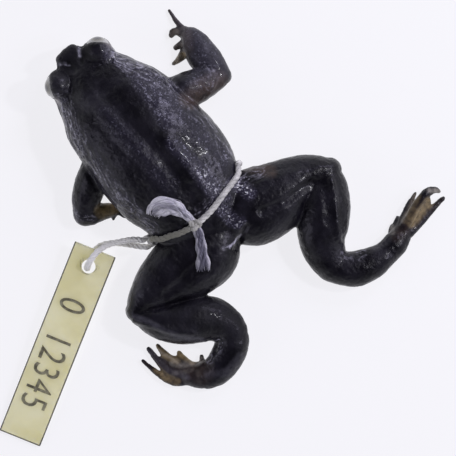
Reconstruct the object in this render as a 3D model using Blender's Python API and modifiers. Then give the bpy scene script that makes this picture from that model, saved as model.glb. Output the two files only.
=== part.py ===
# Southern gastric-brooding frog, a still, life-size model in the pose of a preserved specimen.
# The frog lies on its belly with a cotton string round its waist and a tag tied to the string.
# Frame: metres in the finished meshes, +Z up, the head towards -Y, the frog's left towards +X.
# The origin lies on the floor under the belly. The stations below are in millimetres for a frog
# of the drawn length, and the snout-vent length scales them all.

import bpy
import bmesh
from math import cos, pi, radians, sin, tan
from mathutils import Matrix, Vector
from mathutils.bvhtree import BVHTree

# Driving dimensions: the real snout-vent length in metres, and the rest in millimetres
SNOUT_VENT = 0.048
DRAWN_LENGTH = 48.0
MM = SNOUT_VENT / DRAWN_LENGTH
GAP = 0.3
VOXEL = 0.30
EYE_RADIUS = 2.2
STRING_RADIUS = 0.6
TAG_LENGTH = 38.5
TAG_WIDTH = 8.25
TAG_THICKNESS = 0.8
TAG_HOLE_RADIUS = 1.3
HEAD_TRIANGLES = 2400
BODY_TRIANGLES = 6400
HEAD_FINE_Y = -12.0
HEAD_FINE_X = 12.0

# Colours of the materials
SKIN_DARK = (0.030, 0.029, 0.037)
SKIN_HAND = (0.10, 0.09, 0.10)
EYE_PALE = (0.62, 0.62, 0.58)
STRING_WHITE = (0.55, 0.55, 0.60)
TAG_CREAM = (0.62, 0.58, 0.40)

# Trunk sections from the snout to the vent:
# (y, half width on the right, half width on the left, underside z, top z)
TRUNK = (
    (-23.7, 1.8, 1.8, 3.4, 6.2),
    (-22.8, 2.9, 2.9, 2.6, 7.2),
    (-21.6, 4.5, 4.6, 2.1, 8.1),
    (-20.2, 5.9, 6.0, 1.8, 8.8),
    (-18.6, 6.8, 6.9, 1.6, 9.5),
    (-17.0, 7.2, 7.4, 1.4, 10.2),
    (-15.0, 8.4, 8.3, 1.2, 10.9),
    (-13.0, 9.4, 9.2, 1.0, 11.6),
    (-10.5, 10.6, 10.4, 0.6, 12.5),
    (-7.5, 11.4, 10.9, 0.0, 13.3),
    (-4.0, 11.9, 11.4, -0.5, 14.1),
    (0.0, 12.2, 11.9, -0.5, 14.6),
    (4.0, 12.5, 12.0, -0.5, 14.5),
    (8.0, 12.2, 11.8, -0.1, 13.9),
    (11.0, 11.5, 10.9, 1.0, 13.0),
    (14.0, 10.2, 10.3, 2.0, 12.0),
    (17.0, 9.2, 9.2, 2.0, 11.0),
    (20.0, 7.4, 7.4, 1.4, 9.8),
    (22.5, 5.0, 5.0, 1.6, 8.4),
    (24.0, 2.6, 2.6, 2.8, 6.8),
)
WIDEST_LEVEL = 0.40
BACK_ROUNDNESS = 2.15
BELLY_ROUNDNESS = 2.4

# Limb stations: (x, y, z, half width, half height)
THIGH_R = (
    (-2.5, 19.6, 5.0, 5.2, 4.4),
    (-6.5, 21.3, 4.9, 7.2, 5.1),
    (-11.3, 22.6, 4.6, 7.0, 5.0),
    (-15.0, 22.9, 4.3, 5.6, 4.6),
    (-18.2, 23.4, 3.9, 4.3, 4.2),
    (-21.2, 24.7, 3.6, 3.2, 3.8),
    (-22.8, 25.6, 3.4, 2.3, 3.4),
)
SHANK_R = (
    (-22.3, 25.8, 3.4, 2.6, 3.4),
    (-20.6, 27.6, 3.6, 4.0, 3.8),
    (-18.0, 29.9, 3.9, 4.9, 4.2),
    (-15.4, 32.2, 3.9, 5.0, 4.2),
    (-13.0, 34.8, 3.5, 4.4, 3.8),
    (-11.8, 37.6, 3.0, 3.8, 3.3),
    (-11.4, 39.8, 2.7, 3.2, 3.0),
)
TARSUS_R = (
    (-11.6, 40.2, 2.7, 3.1, 2.9),
    (-14.2, 42.9, 2.6, 3.4, 2.8),
    (-17.6, 44.2, 2.4, 3.0, 2.6),
    (-20.8, 44.5, 2.1, 2.4, 2.3),
    (-23.4, 44.3, 2.0, 2.4, 2.0),
    (-25.4, 43.7, 1.9, 1.8, 1.5),
)
THIGH_L = (
    (0.5, 20.0, 5.0, 5.2, 4.4),
    (4.5, 21.3, 4.9, 7.1, 5.1),
    (8.5, 21.4, 4.6, 6.9, 5.0),
    (12.5, 21.0, 4.3, 6.0, 4.6),
    (16.2, 20.9, 4.0, 4.8, 4.3),
    (19.6, 21.1, 3.6, 3.2, 3.9),
    (22.0, 21.7, 3.4, 2.0, 3.5),
)
SHANK_L = (
    (22.2, 23.2, 3.4, 1.7, 3.4),
    (21.0, 24.8, 3.6, 2.8, 3.8),
    (19.2, 26.9, 3.8, 3.7, 4.1),
    (16.8, 28.9, 3.9, 4.3, 4.2),
    (14.2, 30.5, 3.8, 4.5, 4.1),
    (12.2, 32.4, 3.4, 4.2, 3.7),
    (11.1, 34.8, 3.0, 3.6, 3.3),
    (11.0, 36.4, 2.8, 3.1, 3.0),
)
TARSUS_L = (
    (11.1, 35.6, 2.8, 3.1, 3.0),
    (12.2, 38.0, 2.6, 3.2, 2.8),
    (14.7, 39.4, 2.4, 3.2, 2.6),
    (18.0, 40.1, 2.1, 2.9, 2.3),
    (20.7, 39.1, 1.7, 2.5, 1.8),
    (22.6, 37.6, 1.4, 1.8, 1.4),
)
UPPER_ARM_R = (
    (-8.5, -4.2, 5.0, 3.4, 3.4),
    (-12.2, -3.3, 4.2, 3.5, 3.3),
    (-15.5, -2.2, 3.4, 3.1, 3.0),
    (-18.6, -1.4, 2.4, 2.4, 2.6),
)
FOREARM_R = (
    (-19.3, -1.0, 2.3, 1.9, 2.3),
    (-19.3, -4.0, 2.5, 2.7, 2.7),
    (-19.1, -6.4, 2.4, 3.1, 2.6),
    (-19.5, -8.6, 2.1, 2.7, 2.3),
    (-19.7, -10.5, 1.6, 2.0, 1.8),
    (-19.5, -11.8, 1.2, 1.1, 1.2),
)
UPPER_ARM_L = (
    (8.6, -3.6, 4.6, 3.2, 3.2),
    (12.3, -2.0, 3.6, 3.1, 3.1),
    (15.0, -0.4, 2.8, 2.8, 2.8),
    (17.3, 1.8, 2.1, 2.3, 2.2),
)
FOREARM_L = (
    (16.6, 2.6, 1.9, 1.9, 1.9),
    (14.6, 3.4, 1.5, 1.7, 1.6),
    (12.9, 4.4, 0.9, 1.4, 0.9),
    (11.9, 5.1, 0.6, 1.1, 0.7),
)

# Digits, each from its root to its tip: (x, y, z, radius)
FINGERS_R = (
    ((-19.6, -11.0, 1.3, 0.9), (-19.6, -13.2, 1.0, 0.65), (-19.7, -15.0, 0.7, 0.5), (-19.9, -16.8, 0.5, 0.4)),
    ((-19.2, -10.8, 1.2, 0.9), (-18.6, -12.6, 1.0, 0.8), (-17.9, -13.3, 0.8, 0.7), (-17.2, -13.0, 0.7, 0.6)),
    ((-18.6, -10.0, 1.2, 0.9), (-17.4, -10.6, 0.9, 0.7), (-16.3, -10.7, 0.6, 0.55)),
    ((-18.0, -9.2, 1.3, 1.0), (-16.2, -8.75, 1.0, 0.85), (-14.9, -8.65, 0.7, 0.6), (-14.0, -8.75, 0.5, 0.4)),
)
FINGERS_L = (
    ((12.5, 4.9, 0.6, 0.65), (13.2, 5.4, 0.5, 0.5), (13.9, 5.8, 0.35, 0.4)),
    ((12.1, 5.3, 0.6, 0.65), (11.9, 6.5, 0.5, 0.55), (11.4, 7.5, 0.35, 0.4)),
    ((11.7, 5.4, 0.6, 0.6), (11.0, 6.5, 0.5, 0.5), (10.4, 7.3, 0.35, 0.4)),
    ((11.3, 5.2, 0.5, 0.55), (10.3, 5.8, 0.45, 0.45), (9.5, 6.2, 0.35, 0.4)),
)
TOES_R = (
    ((-23.6, 42.8, 1.2, 0.8), (-24.2, 42.0, 0.9, 0.6), (-24.8, 41.4, 0.6, 0.4)),
    ((-24.3, 42.8, 1.3, 0.9), (-25.6, 41.7, 1.0, 0.7), (-26.7, 40.9, 0.7, 0.4)),
    ((-25.2, 43.0, 1.7, 1.0), (-27.9, 41.5, 1.6, 0.8), (-30.3, 40.4, 1.3, 0.65), (-32.2, 39.7, 0.9, 0.4)),
    (
        (-25.6, 43.4, 2.2, 1.1),
        (-28.6, 42.3, 2.9, 1.05),
        (-31.4, 41.4, 3.3, 0.95),
        (-33.6, 41.0, 3.3, 0.9),
        (-35.1, 41.4, 2.8, 0.7),
        (-35.7, 42.3, 2.3, 0.42),
    ),
    ((-25.6, 44.4, 1.8, 1.1), (-29.0, 44.4, 1.4, 0.9), (-32.5, 44.0, 1.1, 0.68), (-35.6, 43.9, 0.8, 0.42)),
)
TOES_L = (
    ((19.8, 38.4, 1.2, 0.9), (19.0, 37.2, 1.0, 0.6), (18.4, 36.3, 0.8, 0.42)),
    ((21.0, 37.4, 1.2, 1.0), (21.3, 35.0, 1.0, 0.8), (21.2, 33.0, 0.8, 0.5)),
    ((22.2, 37.0, 1.2, 1.0), (23.0, 34.2, 1.2, 0.85), (23.3, 31.4, 1.3, 0.7), (23.3, 29.3, 1.1, 0.45)),
    ((23.0, 37.4, 1.2, 1.0), (24.7, 34.6, 1.0, 0.9), (25.1, 31.6, 0.8, 0.7), (25.0, 28.6, 0.6, 0.42)),
    ((22.9, 38.3, 1.1, 1.0), (25.6, 36.4, 0.9, 0.8), (26.7, 33.4, 0.8, 0.6), (27.3, 29.6, 0.6, 0.4)),
)
WEB_THICKNESS = 0.8
WEB_STEPS = 7
WEB_REACH_R = (0.55, 0.55, 0.5, 0.68)
WEB_REACH_L = (0.5, 0.7, 0.7, 0.6)

# Head bulges over the eyes and the snout lobe: (x, y, z, radius x, radius y, radius z)
HEAD_BULGES = (
    (-4.9, -19.6, 7.5, 2.9, 2.9, 3.0),
    (5.1, -19.45, 7.5, 2.9, 2.9, 3.0),
    (-4.3, -18.2, 6.9, 3.1, 3.1, 2.7),
    (4.4, -18.0, 6.9, 3.1, 3.1, 2.7),
    (-1.0, -22.0, 5.9, 1.8, 2.0, 2.7),
    (0.0, -22.1, 6.0, 1.9, 2.0, 2.8),
    (1.0, -22.0, 5.9, 1.8, 2.0, 2.7),
)
# Middle of each eye's bulge and the way the eye looks
EYES = {
    "eye_right": ((-4.9, -19.6, 7.5), (-0.65, -0.76, 0.12)),
    "eye_left": ((5.1, -19.45, 7.5), (0.82, -0.56, 0.12)),
}
# The eyeball sits this far out of the middle of its bulge
EYE_SHIFT = 0.2
# The lids leave a round window of this half angle, with a thick rim at this distance
WINDOW_ANGLE = 46.0
WINDOW_DEPTH = 3.4
WINDOW_TIP_RADIUS = 0.1
LID_RIM_ANGLE = 50.0
LID_RIM_DISTANCE = 2.6
LID_RIM_RADIUS = 0.34
LID_RIM_BALLS = 40
MOUTH_LEVEL = 4.0
MOUTH_LARGEST_SHARE = 0.98
MOUTH_GROOVE = 0.22
MOUTH_CORNER_Y = -13.5
LIP_OFFSET = 0.6
LIP_HALF_WIDTH = 0.55
LIP_HEIGHT = 0.28
NOSTRILS = ((-1.35, -22.9), (1.35, -22.9))
NOSTRIL_RADIUS = 0.34

# Swellings and furrows on the skin, seen from above: (points, half width, height)
RELIEF = (
    (((2.2, -14.9), (2.0, -9.7), (1.8, -4.5), (1.4, 2.0)), 1.9, 0.3),
    (((0.1, -11.5), (0.2, -4.6), (0.4, 1.7)), 1.4, -0.3),
    (((-3.4, 3.8), (-3.4, 8.7), (-3.2, 14.0)), 1.8, 0.35),
    (((3.6, 6.0), (3.5, 10.0), (3.2, 14.0)), 1.5, 0.30),
    (((-3.2, -23.4), (-2.3, -21.9), (-1.5, -20.2), (-0.9, -18.6)), 0.8, -0.7),
    (((3.1, -23.4), (2.1, -22.0), (1.5, -20.3), (0.7, -18.2)), 0.8, -0.7),
    (((-6.6, -19.4), (-6.5, -18.0), (-4.6, -17.0), (-2.4, -17.7)), 0.9, -0.12),
    (((6.7, -19.4), (6.3, -17.6), (4.3, -16.7), (2.2, -17.9)), 0.9, -0.12),
    (((-8.2, 23.2), (-12.7, 24.6), (-16.2, 24.9), (-18.9, 25.3)), 1.0, -0.5),
    (((-21.7, 27.2), (-20.4, 29.8), (-17.6, 33.6), (-15.4, 36.7)), 0.9, 0.3),
    (((23.2, 22.8), (21.1, 26.0), (19.6, 28.6), (16.5, 32.0)), 0.9, 0.3),
    (((0.1, 25.4), (-2.1, 24.1), (-4.0, 23.4)), 0.9, -0.5),
    (((-9.5, -17.0), (-10.8, -12.5), (-11.6, -8.5)), 0.9, -0.3),
    (((9.6, -14.5), (10.4, -11.0), (10.8, -7.5)), 0.9, -0.3),
)

# Thin cuts between the nodes: (x, y, turn about Z in degrees, half length, top z)
# A cut's long side lies along X before it is turned.
CUTS = (
    (0.0, -10.5, 0.0, 12.8, 16.0),
    (-12.3, -3.6, 90.0, 5.5, 9.5),
    (12.5, -3.0, 90.0, 5.3, 9.5),
    (-18.2, -2.8, 120.0, 4.3, 8.0),
    (15.2, 3.15, 36.0, 3.0, 7.0),
    (-19.3, -8.0, 11.5, 3.8, 8.0),
    (13.2, 4.1, 61.0, 2.4, 4.0),
    (-6.3, 19.8, 46.1, 8.2, 16.0),
    (5.5, 20.4, 129.8, 9.2, 16.0),
    (-18.5, 27.2, 16.6, 9.0, 12.0),
    (16.8, 24.9, 156.0, 8.8, 12.0),
    (-11.8, 39.4, 14.0, 5.2, 9.0),
    (11.1, 36.0, 175.4, 4.9, 9.0),
    (-21.6, 44.2, 90.0, 3.6, 7.0),
    (18.2, 39.9, 96.0, 3.9, 7.0),
)
# A point inside each node of flesh
NODE_SEEDS = {
    "head": (0.0, -16.0, 6.0),
    "torso": (0.0, 2.0, 6.0),
    "upper_arm_right": (-15.5, -2.5, 3.4),
    "forearm_right": (-19.6, -5.0, 2.7),
    "hand_right": (-19.5, -9.8, 2.0),
    "upper_arm_left": (15.4, 0.0, 2.8),
    "forearm_left": (14.2, 3.7, 1.4),
    "hand_left": (11.7, 5.2, 0.7),
    "thigh_right": (-11.3, 22.5, 4.6),
    "shank_right": (-15.4, 32.2, 3.9),
    "tarsus_right": (-16.5, 43.6, 2.5),
    "foot_right": (-24.2, 44.0, 1.9),
    "thigh_left": (12.5, 21.0, 4.3),
    "shank_left": (15.4, 29.8, 3.9),
    "tarsus_left": (14.0, 38.9, 2.5),
    "foot_left": (20.6, 39.0, 1.7),
}
PALE_NODES = ("hand_right", "hand_left", "forearm_left", "foot_right", "foot_left")

# The string round the waist, seen from above, from its left end at the knot to its right one
WAIST_OVER_LEFT = ((4.7, 16.6), (6.2, 16.1), (7.9, 15.3), (9.4, 14.6))
WAIST_OVER_RIGHT = ((-9.2, 15.0), (-6.2, 15.8), (-3.8, 16.3), (-1.0, 16.9), (1.1, 17.1))
WAIST_SIDE_Y = 13.6
WAIST_SIDE_LEVELS = (8.0, 6.0, 4.0, 2.8)
WAIST_UNDER_X = (7.5, 3.5, 0.0, -3.5, -7.5)
KNOT = (2.9, 16.8)
KNOT_RADIUS = 0.95
KNOT_LUMPS = 12
KNOT_RING_RADIUS = 0.55
KNOT_RING_WAVE = 0.25
KNOT_LUMP_RADII = (0.55, 0.55, 0.6)
KNOT_CORE_RADII = (0.8, 0.8, 0.85)
KNOT_VOXEL = 0.25
# Room past the gap for the faceted skin under a string, and under a frayed end
STRING_MARGIN = 0.1
FRAY_MARGIN = 0.25
# The frayed ends, seen from above: (x, y, half width, half thickness)
FRAYED_CURL = (
    (2.9, 15.1, 0.65, 0.55),
    (3.1, 14.0, 0.85, 0.55),
    (3.4, 12.7, 1.25, 0.5),
    (4.1, 11.3, 1.6, 0.5),
    (5.5, 10.2, 1.85, 0.45),
    (6.8, 10.0, 1.7, 0.4),
    (7.9, 10.5, 1.3, 0.35),
)
FRAYED_TAIL = (
    (3.5, 18.5, 0.65, 0.55),
    (4.0, 19.6, 0.7, 0.55),
    (4.9, 20.8, 0.8, 0.5),
    (5.7, 22.0, 0.95, 0.5),
    (6.6, 23.3, 1.2, 0.45),
    (7.6, 24.5, 1.4, 0.4),
)

# The tag, from the far end on the floor to the end that the string lifts
TAG_FAR_END = (54.45, 25.35)
TAG_NEAR_END = (20.05, 7.95)
TAG_LIFT = 2.6
TAG_BOW = 0.5
TAG_HOLE_INSET = 3.5
# The string through the tag, from the waist over the tag, through its hole, under it and back
TAG_STRING = (
    (12.2, 12.6, 4.7),
    (13.5, 11.3, 3.8),
    (15.6, 10.0, 3.3),
    (17.8, 8.9, 3.6),
    (19.8, 8.6, 4.5),
    (21.4, 8.8, 5.2),
    (22.6, 9.1, 5.25),
    (23.4, 9.4, 4.5),
    (23.6, 9.6, 3.2),
    (23.45, 9.6, 2.0),
    (22.9, 9.2, 1.1),
    (21.4, 8.3, 0.75),
    (19.2, 8.0, 0.68),
    (16.9, 9.2, 0.68),
    (14.9, 11.3, 0.9),
    (13.5, 13.0, 1.5),
    (12.4, 14.1, 2.3),
)

# How finely the flesh is lofted, and where rays towards it start
RING_SIDES = 20
TRUNK_SIDES = 40
DOME_ANGLES = (radians(25), radians(52), radians(75))
DIGIT_SIDES = 12
SPLINE_STEPS = 3
SMOOTH_ROUNDS = 4
RAY_STEP = 0.001
RAY_HEIGHT = 40
RAY_DEPTH = -5
FLOOR_BLOCK = (120, 120, 10)
FLOOR_BLOCK_Y = 10
TAG_STEPS = 12
RELIEF_MIN_SLOPE = 0.15


def spline(points, steps=SPLINE_STEPS):
    """Points of a smooth curve through the given ones, which may have any number of values."""
    out = []
    last = len(points) - 1
    for index in range(last):
        before = points[max(index - 1, 0)]
        start = points[index]
        end = points[index + 1]
        after = points[min(index + 2, last)]
        for step in range(steps):
            t = step / steps
            row = []
            for a, b, c, d in zip(before, start, end, after):
                bend = 2 * a - 5 * b + 4 * c - d
                twist = 3 * b - a - 3 * c + d
                row.append(b + 0.5 * ((c - a) * t + bend * t**2 + twist * t**3))
            out.append(tuple(row))
    out.append(tuple(points[-1]))
    return out


def bridge_rings(bm, rings):
    """Joins rings of vertices into a closed skin with flat ends."""
    edge_rings = []
    for ring in rings:
        members = set(ring)
        edge_rings.append([e for e in {e for v in ring for e in v.link_edges} if set(e.verts) <= members])
    for near, far in zip(edge_rings, edge_rings[1:]):
        bmesh.ops.bridge_loops(bm, edges=near + far)
    bmesh.ops.contextual_create(bm, geom=edge_rings[0])
    bmesh.ops.contextual_create(bm, geom=edge_rings[-1])


def straight_up(point):
    return Vector((0, 0, 1))


def loft_limb(bm, stations, sides=RING_SIDES, steps=SPLINE_STEPS, upward=straight_up):
    """A limb of oval sections along a smooth path, with a rounded end at each side."""
    rows = spline(stations, steps)
    centres = [Vector(row[:3]) for row in rows]
    rings = []

    def add_ring(centre, tangent, half_width, half_height):
        side = tangent.cross(upward(centre)).normalized()
        up = side.cross(tangent).normalized()
        place = Matrix((side * half_width, up * half_height, side.cross(up))).transposed().to_4x4()
        place.translation = centre
        made = bmesh.ops.create_circle(bm, segments=sides, radius=1.0, matrix=place)
        rings.append(made["verts"])

    domes = [(sin(angle), cos(angle)) for angle in DOME_ANGLES]
    last = len(rows) - 1
    for index, row in enumerate(rows):
        tangent = (centres[min(index + 1, last)] - centres[max(index - 1, 0)]).normalized()
        wide, high = row[3], row[-1]
        reach = tangent * min(wide, high)
        if index == 0:
            for along, size in reversed(domes):
                add_ring(centres[0] - reach * along, tangent, wide * size, high * size)
        add_ring(centres[index], tangent, wide, high)
        if index == last:
            for along, size in domes:
                add_ring(centres[last] + reach * along, tangent, wide * size, high * size)
    bridge_rings(bm, rings)


def loft_trunk(bm):
    """Head and body in one: oval sections across Y, flatter below than above."""
    rings = []
    upright = Matrix.Rotation(pi / 2, 4, "X")
    for y, right, left, low, high in spline(TRUNK, 2):
        middle = low + WIDEST_LEVEL * (high - low)
        made = bmesh.ops.create_circle(bm, segments=TRUNK_SIDES, radius=1.0, matrix=upright)
        for vert in made["verts"]:
            across, up = vert.co.x, vert.co.z
            roundness = BACK_ROUNDNESS if up > 0 else BELLY_ROUNDNESS
            norm = (abs(across) ** roundness + abs(up) ** roundness) ** (1 / roundness)
            half_width = left if across > 0 else right
            depth = (high - middle) if up > 0 else (middle - low)
            vert.co = (across / norm * half_width, y, middle + up / norm * depth)
        rings.append(made["verts"])
    bridge_rings(bm, rings)


def add_ball(bm, centre, radii, segments=24, rings=14):
    place = Matrix.Translation(centre) @ Matrix.Diagonal((*radii, 1.0))
    bmesh.ops.create_uvsphere(bm, u_segments=segments, v_segments=rings, radius=1.0, matrix=place)


def add_web(bm, toe, other, reach):
    """Skin between two toes, from their roots to a share of their length."""
    near = [Vector(row[:3]) for row in spline(toe, 4)]
    far = [Vector(row[:3]) for row in spline(other, 4)]
    rows = []
    for step in range(WEB_STEPS):
        t = reach * step / (WEB_STEPS - 1)
        ends = []
        for line in (near, far):
            place = t * (len(line) - 1)
            low = min(int(place), len(line) - 2)
            ends.append(line[low].lerp(line[low + 1], place - low))
        rows.append(ends)
    lift = Vector((0, 0, WEB_THICKNESS / 2))
    layers = []
    for sign in (-1, 1):
        layers.append([[bm.verts.new(point + sign * lift) for point in ends] for ends in rows])
    bottom, top = layers
    for step in range(WEB_STEPS - 1):
        for face in (
            (bottom[step][0], bottom[step][1], bottom[step + 1][1], bottom[step + 1][0]),
            (top[step][0], top[step + 1][0], top[step + 1][1], top[step][1]),
            (bottom[step][0], bottom[step + 1][0], top[step + 1][0], top[step][0]),
            (bottom[step][1], top[step][1], top[step + 1][1], bottom[step + 1][1]),
        ):
            bm.faces.new(face)
    bm.faces.new((bottom[0][0], top[0][0], top[0][1], bottom[0][1]))
    bm.faces.new((bottom[-1][0], bottom[-1][1], top[-1][1], top[-1][0]))


def object_from(bm, name, collection):
    """A mesh object from a bmesh in millimetres, with its faces pointing out."""
    bmesh.ops.recalc_face_normals(bm, faces=bm.faces)
    mesh = bpy.data.meshes.new(name)
    bm.to_mesh(mesh)
    bm.free()
    obj = bpy.data.objects.new(name, mesh)
    collection.objects.link(obj)
    return obj


def evaluated_mesh(obj):
    """The mesh of an object with its modifiers applied."""
    bpy.context.view_layer.update()
    return bpy.data.meshes.new_from_object(obj.evaluated_get(bpy.context.evaluated_depsgraph_get()))


def apply_modifiers(obj):
    mesh = evaluated_mesh(obj)
    obj.modifiers.clear()
    obj.data = mesh


def thin_out(obj, chosen, triangles):
    """Reduces the faces between the chosen vertices to about the given number of triangles."""
    mesh = obj.data
    picked = {vert.index for vert in mesh.vertices if chosen(vert.co)}
    total = sum(len(face.vertices) - 2 for face in mesh.polygons)
    among = sum(len(face.vertices) - 2 for face in mesh.polygons if picked.issuperset(face.vertices))
    group = obj.vertex_groups.new(name="picked")
    group.add(list(picked), 1.0, "REPLACE")
    decimate = obj.modifiers.new("Thin out", "DECIMATE")
    decimate.use_collapse_triangulate = True
    decimate.vertex_group = group.name
    decimate.ratio = (total - among + triangles) / total
    apply_modifiers(obj)
    obj.vertex_groups.clear()


def cut(obj, cutters, solver="EXACT"):
    """Takes the cutter objects of a collection away from an object."""
    boolean = obj.modifiers.new("Cut", "BOOLEAN")
    boolean.operation = "DIFFERENCE"
    boolean.operand_type = "COLLECTION"
    boolean.collection = cutters
    boolean.solver = solver
    apply_modifiers(obj)


def fall_off(t):
    """1 at the middle, 0 at the rim, level at both."""
    return (1 - t * t) ** 2 if t < 1 else 0.0


def distance_to_path(point, path):
    best = 1e9
    for start, end in zip(path, path[1:]):
        a, b = Vector(start), Vector(end)
        t = max(0.0, min(1.0, (point - a).dot(b - a) / (b - a).length_squared))
        best = min(best, (point - a.lerp(b, t)).length)
    return best


def add_relief(mesh):
    """Swells and furrows the upper side of the skin along its paths."""
    bm = bmesh.new()
    bm.from_mesh(mesh)
    bm.normal_update()
    for path, half_width, height in RELIEF:
        for vert in bm.verts:
            if vert.normal.z > RELIEF_MIN_SLOPE:
                away = distance_to_path(vert.co.xy, path)
                if away < half_width:
                    vert.co += vert.normal * height * fall_off(away / half_width)
    bm.to_mesh(mesh)
    bm.free()


def add_lips(mesh):
    """A low roll above and below the line of the mouth, fading out at its corners."""
    bm = bmesh.new()
    bm.from_mesh(mesh)
    bm.normal_update()
    for vert in bm.verts:
        fade = min(1.0, max(0.0, (MOUTH_CORNER_Y - vert.co.y) / 2))
        away = abs(abs(vert.co.z - MOUTH_LEVEL) - LIP_OFFSET)
        if fade > 0 and away < LIP_HALF_WIDTH:
            vert.co += vert.normal * LIP_HEIGHT * fade * fall_off(away / LIP_HALF_WIDTH)
    bm.to_mesh(mesh)
    bm.free()


def turned_to(middle, look):
    """The place of a shape whose own Z axis points the way the eye looks."""
    turn = Vector(look).to_track_quat("Z", "Y").to_matrix().to_4x4()
    return Matrix.Translation(middle) @ turn


def eyeball_centre(middle, look):
    return Vector(middle) + Vector(look).normalized() * EYE_SHIFT


def make_material(name, colour, roughness):
    material = bpy.data.materials.new(name)
    material.use_nodes = True
    shader = material.node_tree.nodes["Principled BSDF"]
    shader.inputs["Base Color"].default_value = (*colour, 1.0)
    shader.inputs["Roughness"].default_value = roughness
    shader.inputs["Metallic"].default_value = 0.0
    return material


def finish_node(obj, material):
    """Gives a node its material, its smooth shading and its size in metres."""
    obj.data.materials.clear()
    obj.data.materials.append(material)
    obj.data.transform(Matrix.Scale(MM, 4))
    obj.data.shade_smooth()
    obj.data.set_sharp_from_angle(angle=radians(40))


def largest_islands(mesh):
    """The closed surfaces of a mesh as sets of vertex numbers, the largest first."""
    bm = bmesh.new()
    bm.from_mesh(mesh)
    bm.verts.ensure_lookup_table()
    seen = set()
    islands = []
    for start in bm.verts:
        if start.index in seen:
            continue
        stack = [start]
        seen.add(start.index)
        members = []
        while stack:
            vert = stack.pop()
            members.append(vert.index)
            for edge in vert.link_edges:
                other = edge.other_vert(vert)
                if other.index not in seen:
                    seen.add(other.index)
                    stack.append(other)
        islands.append(set(members))
    bm.free()
    return sorted(islands, key=len, reverse=True)


def is_inside(mesh, seed):
    """Whether a line straight up from the seed leaves the closed mesh an odd number of times."""
    bm = bmesh.new()
    bm.from_mesh(mesh)
    tree = BVHTree.FromBMesh(bm)
    bm.free()
    point = Vector(seed)
    inside = False
    hit = tree.ray_cast(point, Vector((0, 0, 1)))[0]
    while hit is not None:
        inside = not inside
        point = hit + Vector((0, 0, RAY_STEP))
        hit = tree.ray_cast(point, Vector((0, 0, 1)))[0]
    return inside


def island_object(mesh, members, name, collection):
    bm = bmesh.new()
    bm.from_mesh(mesh)
    bm.verts.ensure_lookup_table()
    bmesh.ops.delete(bm, geom=[v for v in bm.verts if v.index not in members], context="VERTS")
    bmesh.ops.triangulate(bm, faces=bm.faces)
    return object_from(bm, name, collection)


def keep_largest(obj):
    """Drops the loose scraps that a cut leaves and keeps the largest closed surface."""
    members = largest_islands(obj.data)[0]
    bm = bmesh.new()
    bm.from_mesh(obj.data)
    bm.verts.ensure_lookup_table()
    bmesh.ops.delete(bm, geom=[v for v in bm.verts if v.index not in members], context="VERTS")
    bmesh.ops.triangulate(bm, faces=bm.faces)
    bm.to_mesh(obj.data)
    bm.free()


def new_collection(name):
    collection = bpy.data.collections.new(name)
    bpy.context.scene.collection.children.link(collection)
    return collection


def hide_cutter(obj):
    obj.hide_render = True
    obj.display_type = "WIRE"


def tube_object(name, points, radius, collection, resolution=2):
    """A round tube along a line of points, made a closed mesh."""
    curve = bpy.data.curves.new(name, "CURVE")
    curve.dimensions = "3D"
    curve.bevel_depth = radius
    curve.bevel_resolution = resolution
    curve.use_fill_caps = True
    line = curve.splines.new("POLY")
    line.points.add(len(points) - 1)
    for target, point in zip(line.points, points):
        target.co = (*point, 1.0)
    holder = bpy.data.objects.new(name + "_curve", curve)
    collection.objects.link(holder)
    mesh = evaluated_mesh(holder)
    bm = bmesh.new()
    bm.from_mesh(mesh)
    bmesh.ops.remove_doubles(bm, verts=bm.verts, dist=0.0001)
    obj = object_from(bm, name, collection)
    obj.matrix_world = holder.matrix_world
    bpy.data.objects.remove(holder)
    return obj


# Start from an empty scene
for old in list(bpy.data.objects):
    bpy.data.objects.remove(old)

parts = new_collection("gastric_brooding_frog")
cutters = new_collection("cutters")

skin = make_material("wet_dark_skin", SKIN_DARK, 0.25)
pale_skin = make_material("hand_and_foot_skin", SKIN_HAND, 0.3)
eye_material = make_material("eye", EYE_PALE, 0.1)
string_material = make_material("cotton_string", STRING_WHITE, 0.9)
tag_material = make_material("tag_card", TAG_CREAM, 0.5)

# The whole animal as one flesh
bm = bmesh.new()
loft_trunk(bm)
for stations in (THIGH_R, SHANK_R, TARSUS_R, THIGH_L, SHANK_L, TARSUS_L):
    loft_limb(bm, stations)
for stations in (UPPER_ARM_R, FOREARM_R, UPPER_ARM_L, FOREARM_L):
    loft_limb(bm, stations)
for digits in (FINGERS_R, FINGERS_L, TOES_R, TOES_L):
    for digit in digits:
        loft_limb(bm, digit, sides=DIGIT_SIDES)
for toes, reaches in ((TOES_R, WEB_REACH_R), (TOES_L, WEB_REACH_L)):
    for toe, other, reach in zip(toes, toes[1:], reaches):
        add_web(bm, toe, other, reach)
for x, y, z, *radii in HEAD_BULGES:
    add_ball(bm, (x, y, z), radii)
rim_out = LID_RIM_DISTANCE * cos(radians(LID_RIM_ANGLE))
rim_ring = LID_RIM_DISTANCE * sin(radians(LID_RIM_ANGLE))
for middle, look in EYES.values():
    for index in range(LID_RIM_BALLS):
        angle = 2 * pi * index / LID_RIM_BALLS
        point = turned_to(middle, look) @ Vector((rim_ring * cos(angle), rim_ring * sin(angle), rim_out))
        add_ball(bm, point, (LID_RIM_RADIUS,) * 3, 10, 6)
flesh = object_from(bm, "flesh", parts)

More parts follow.
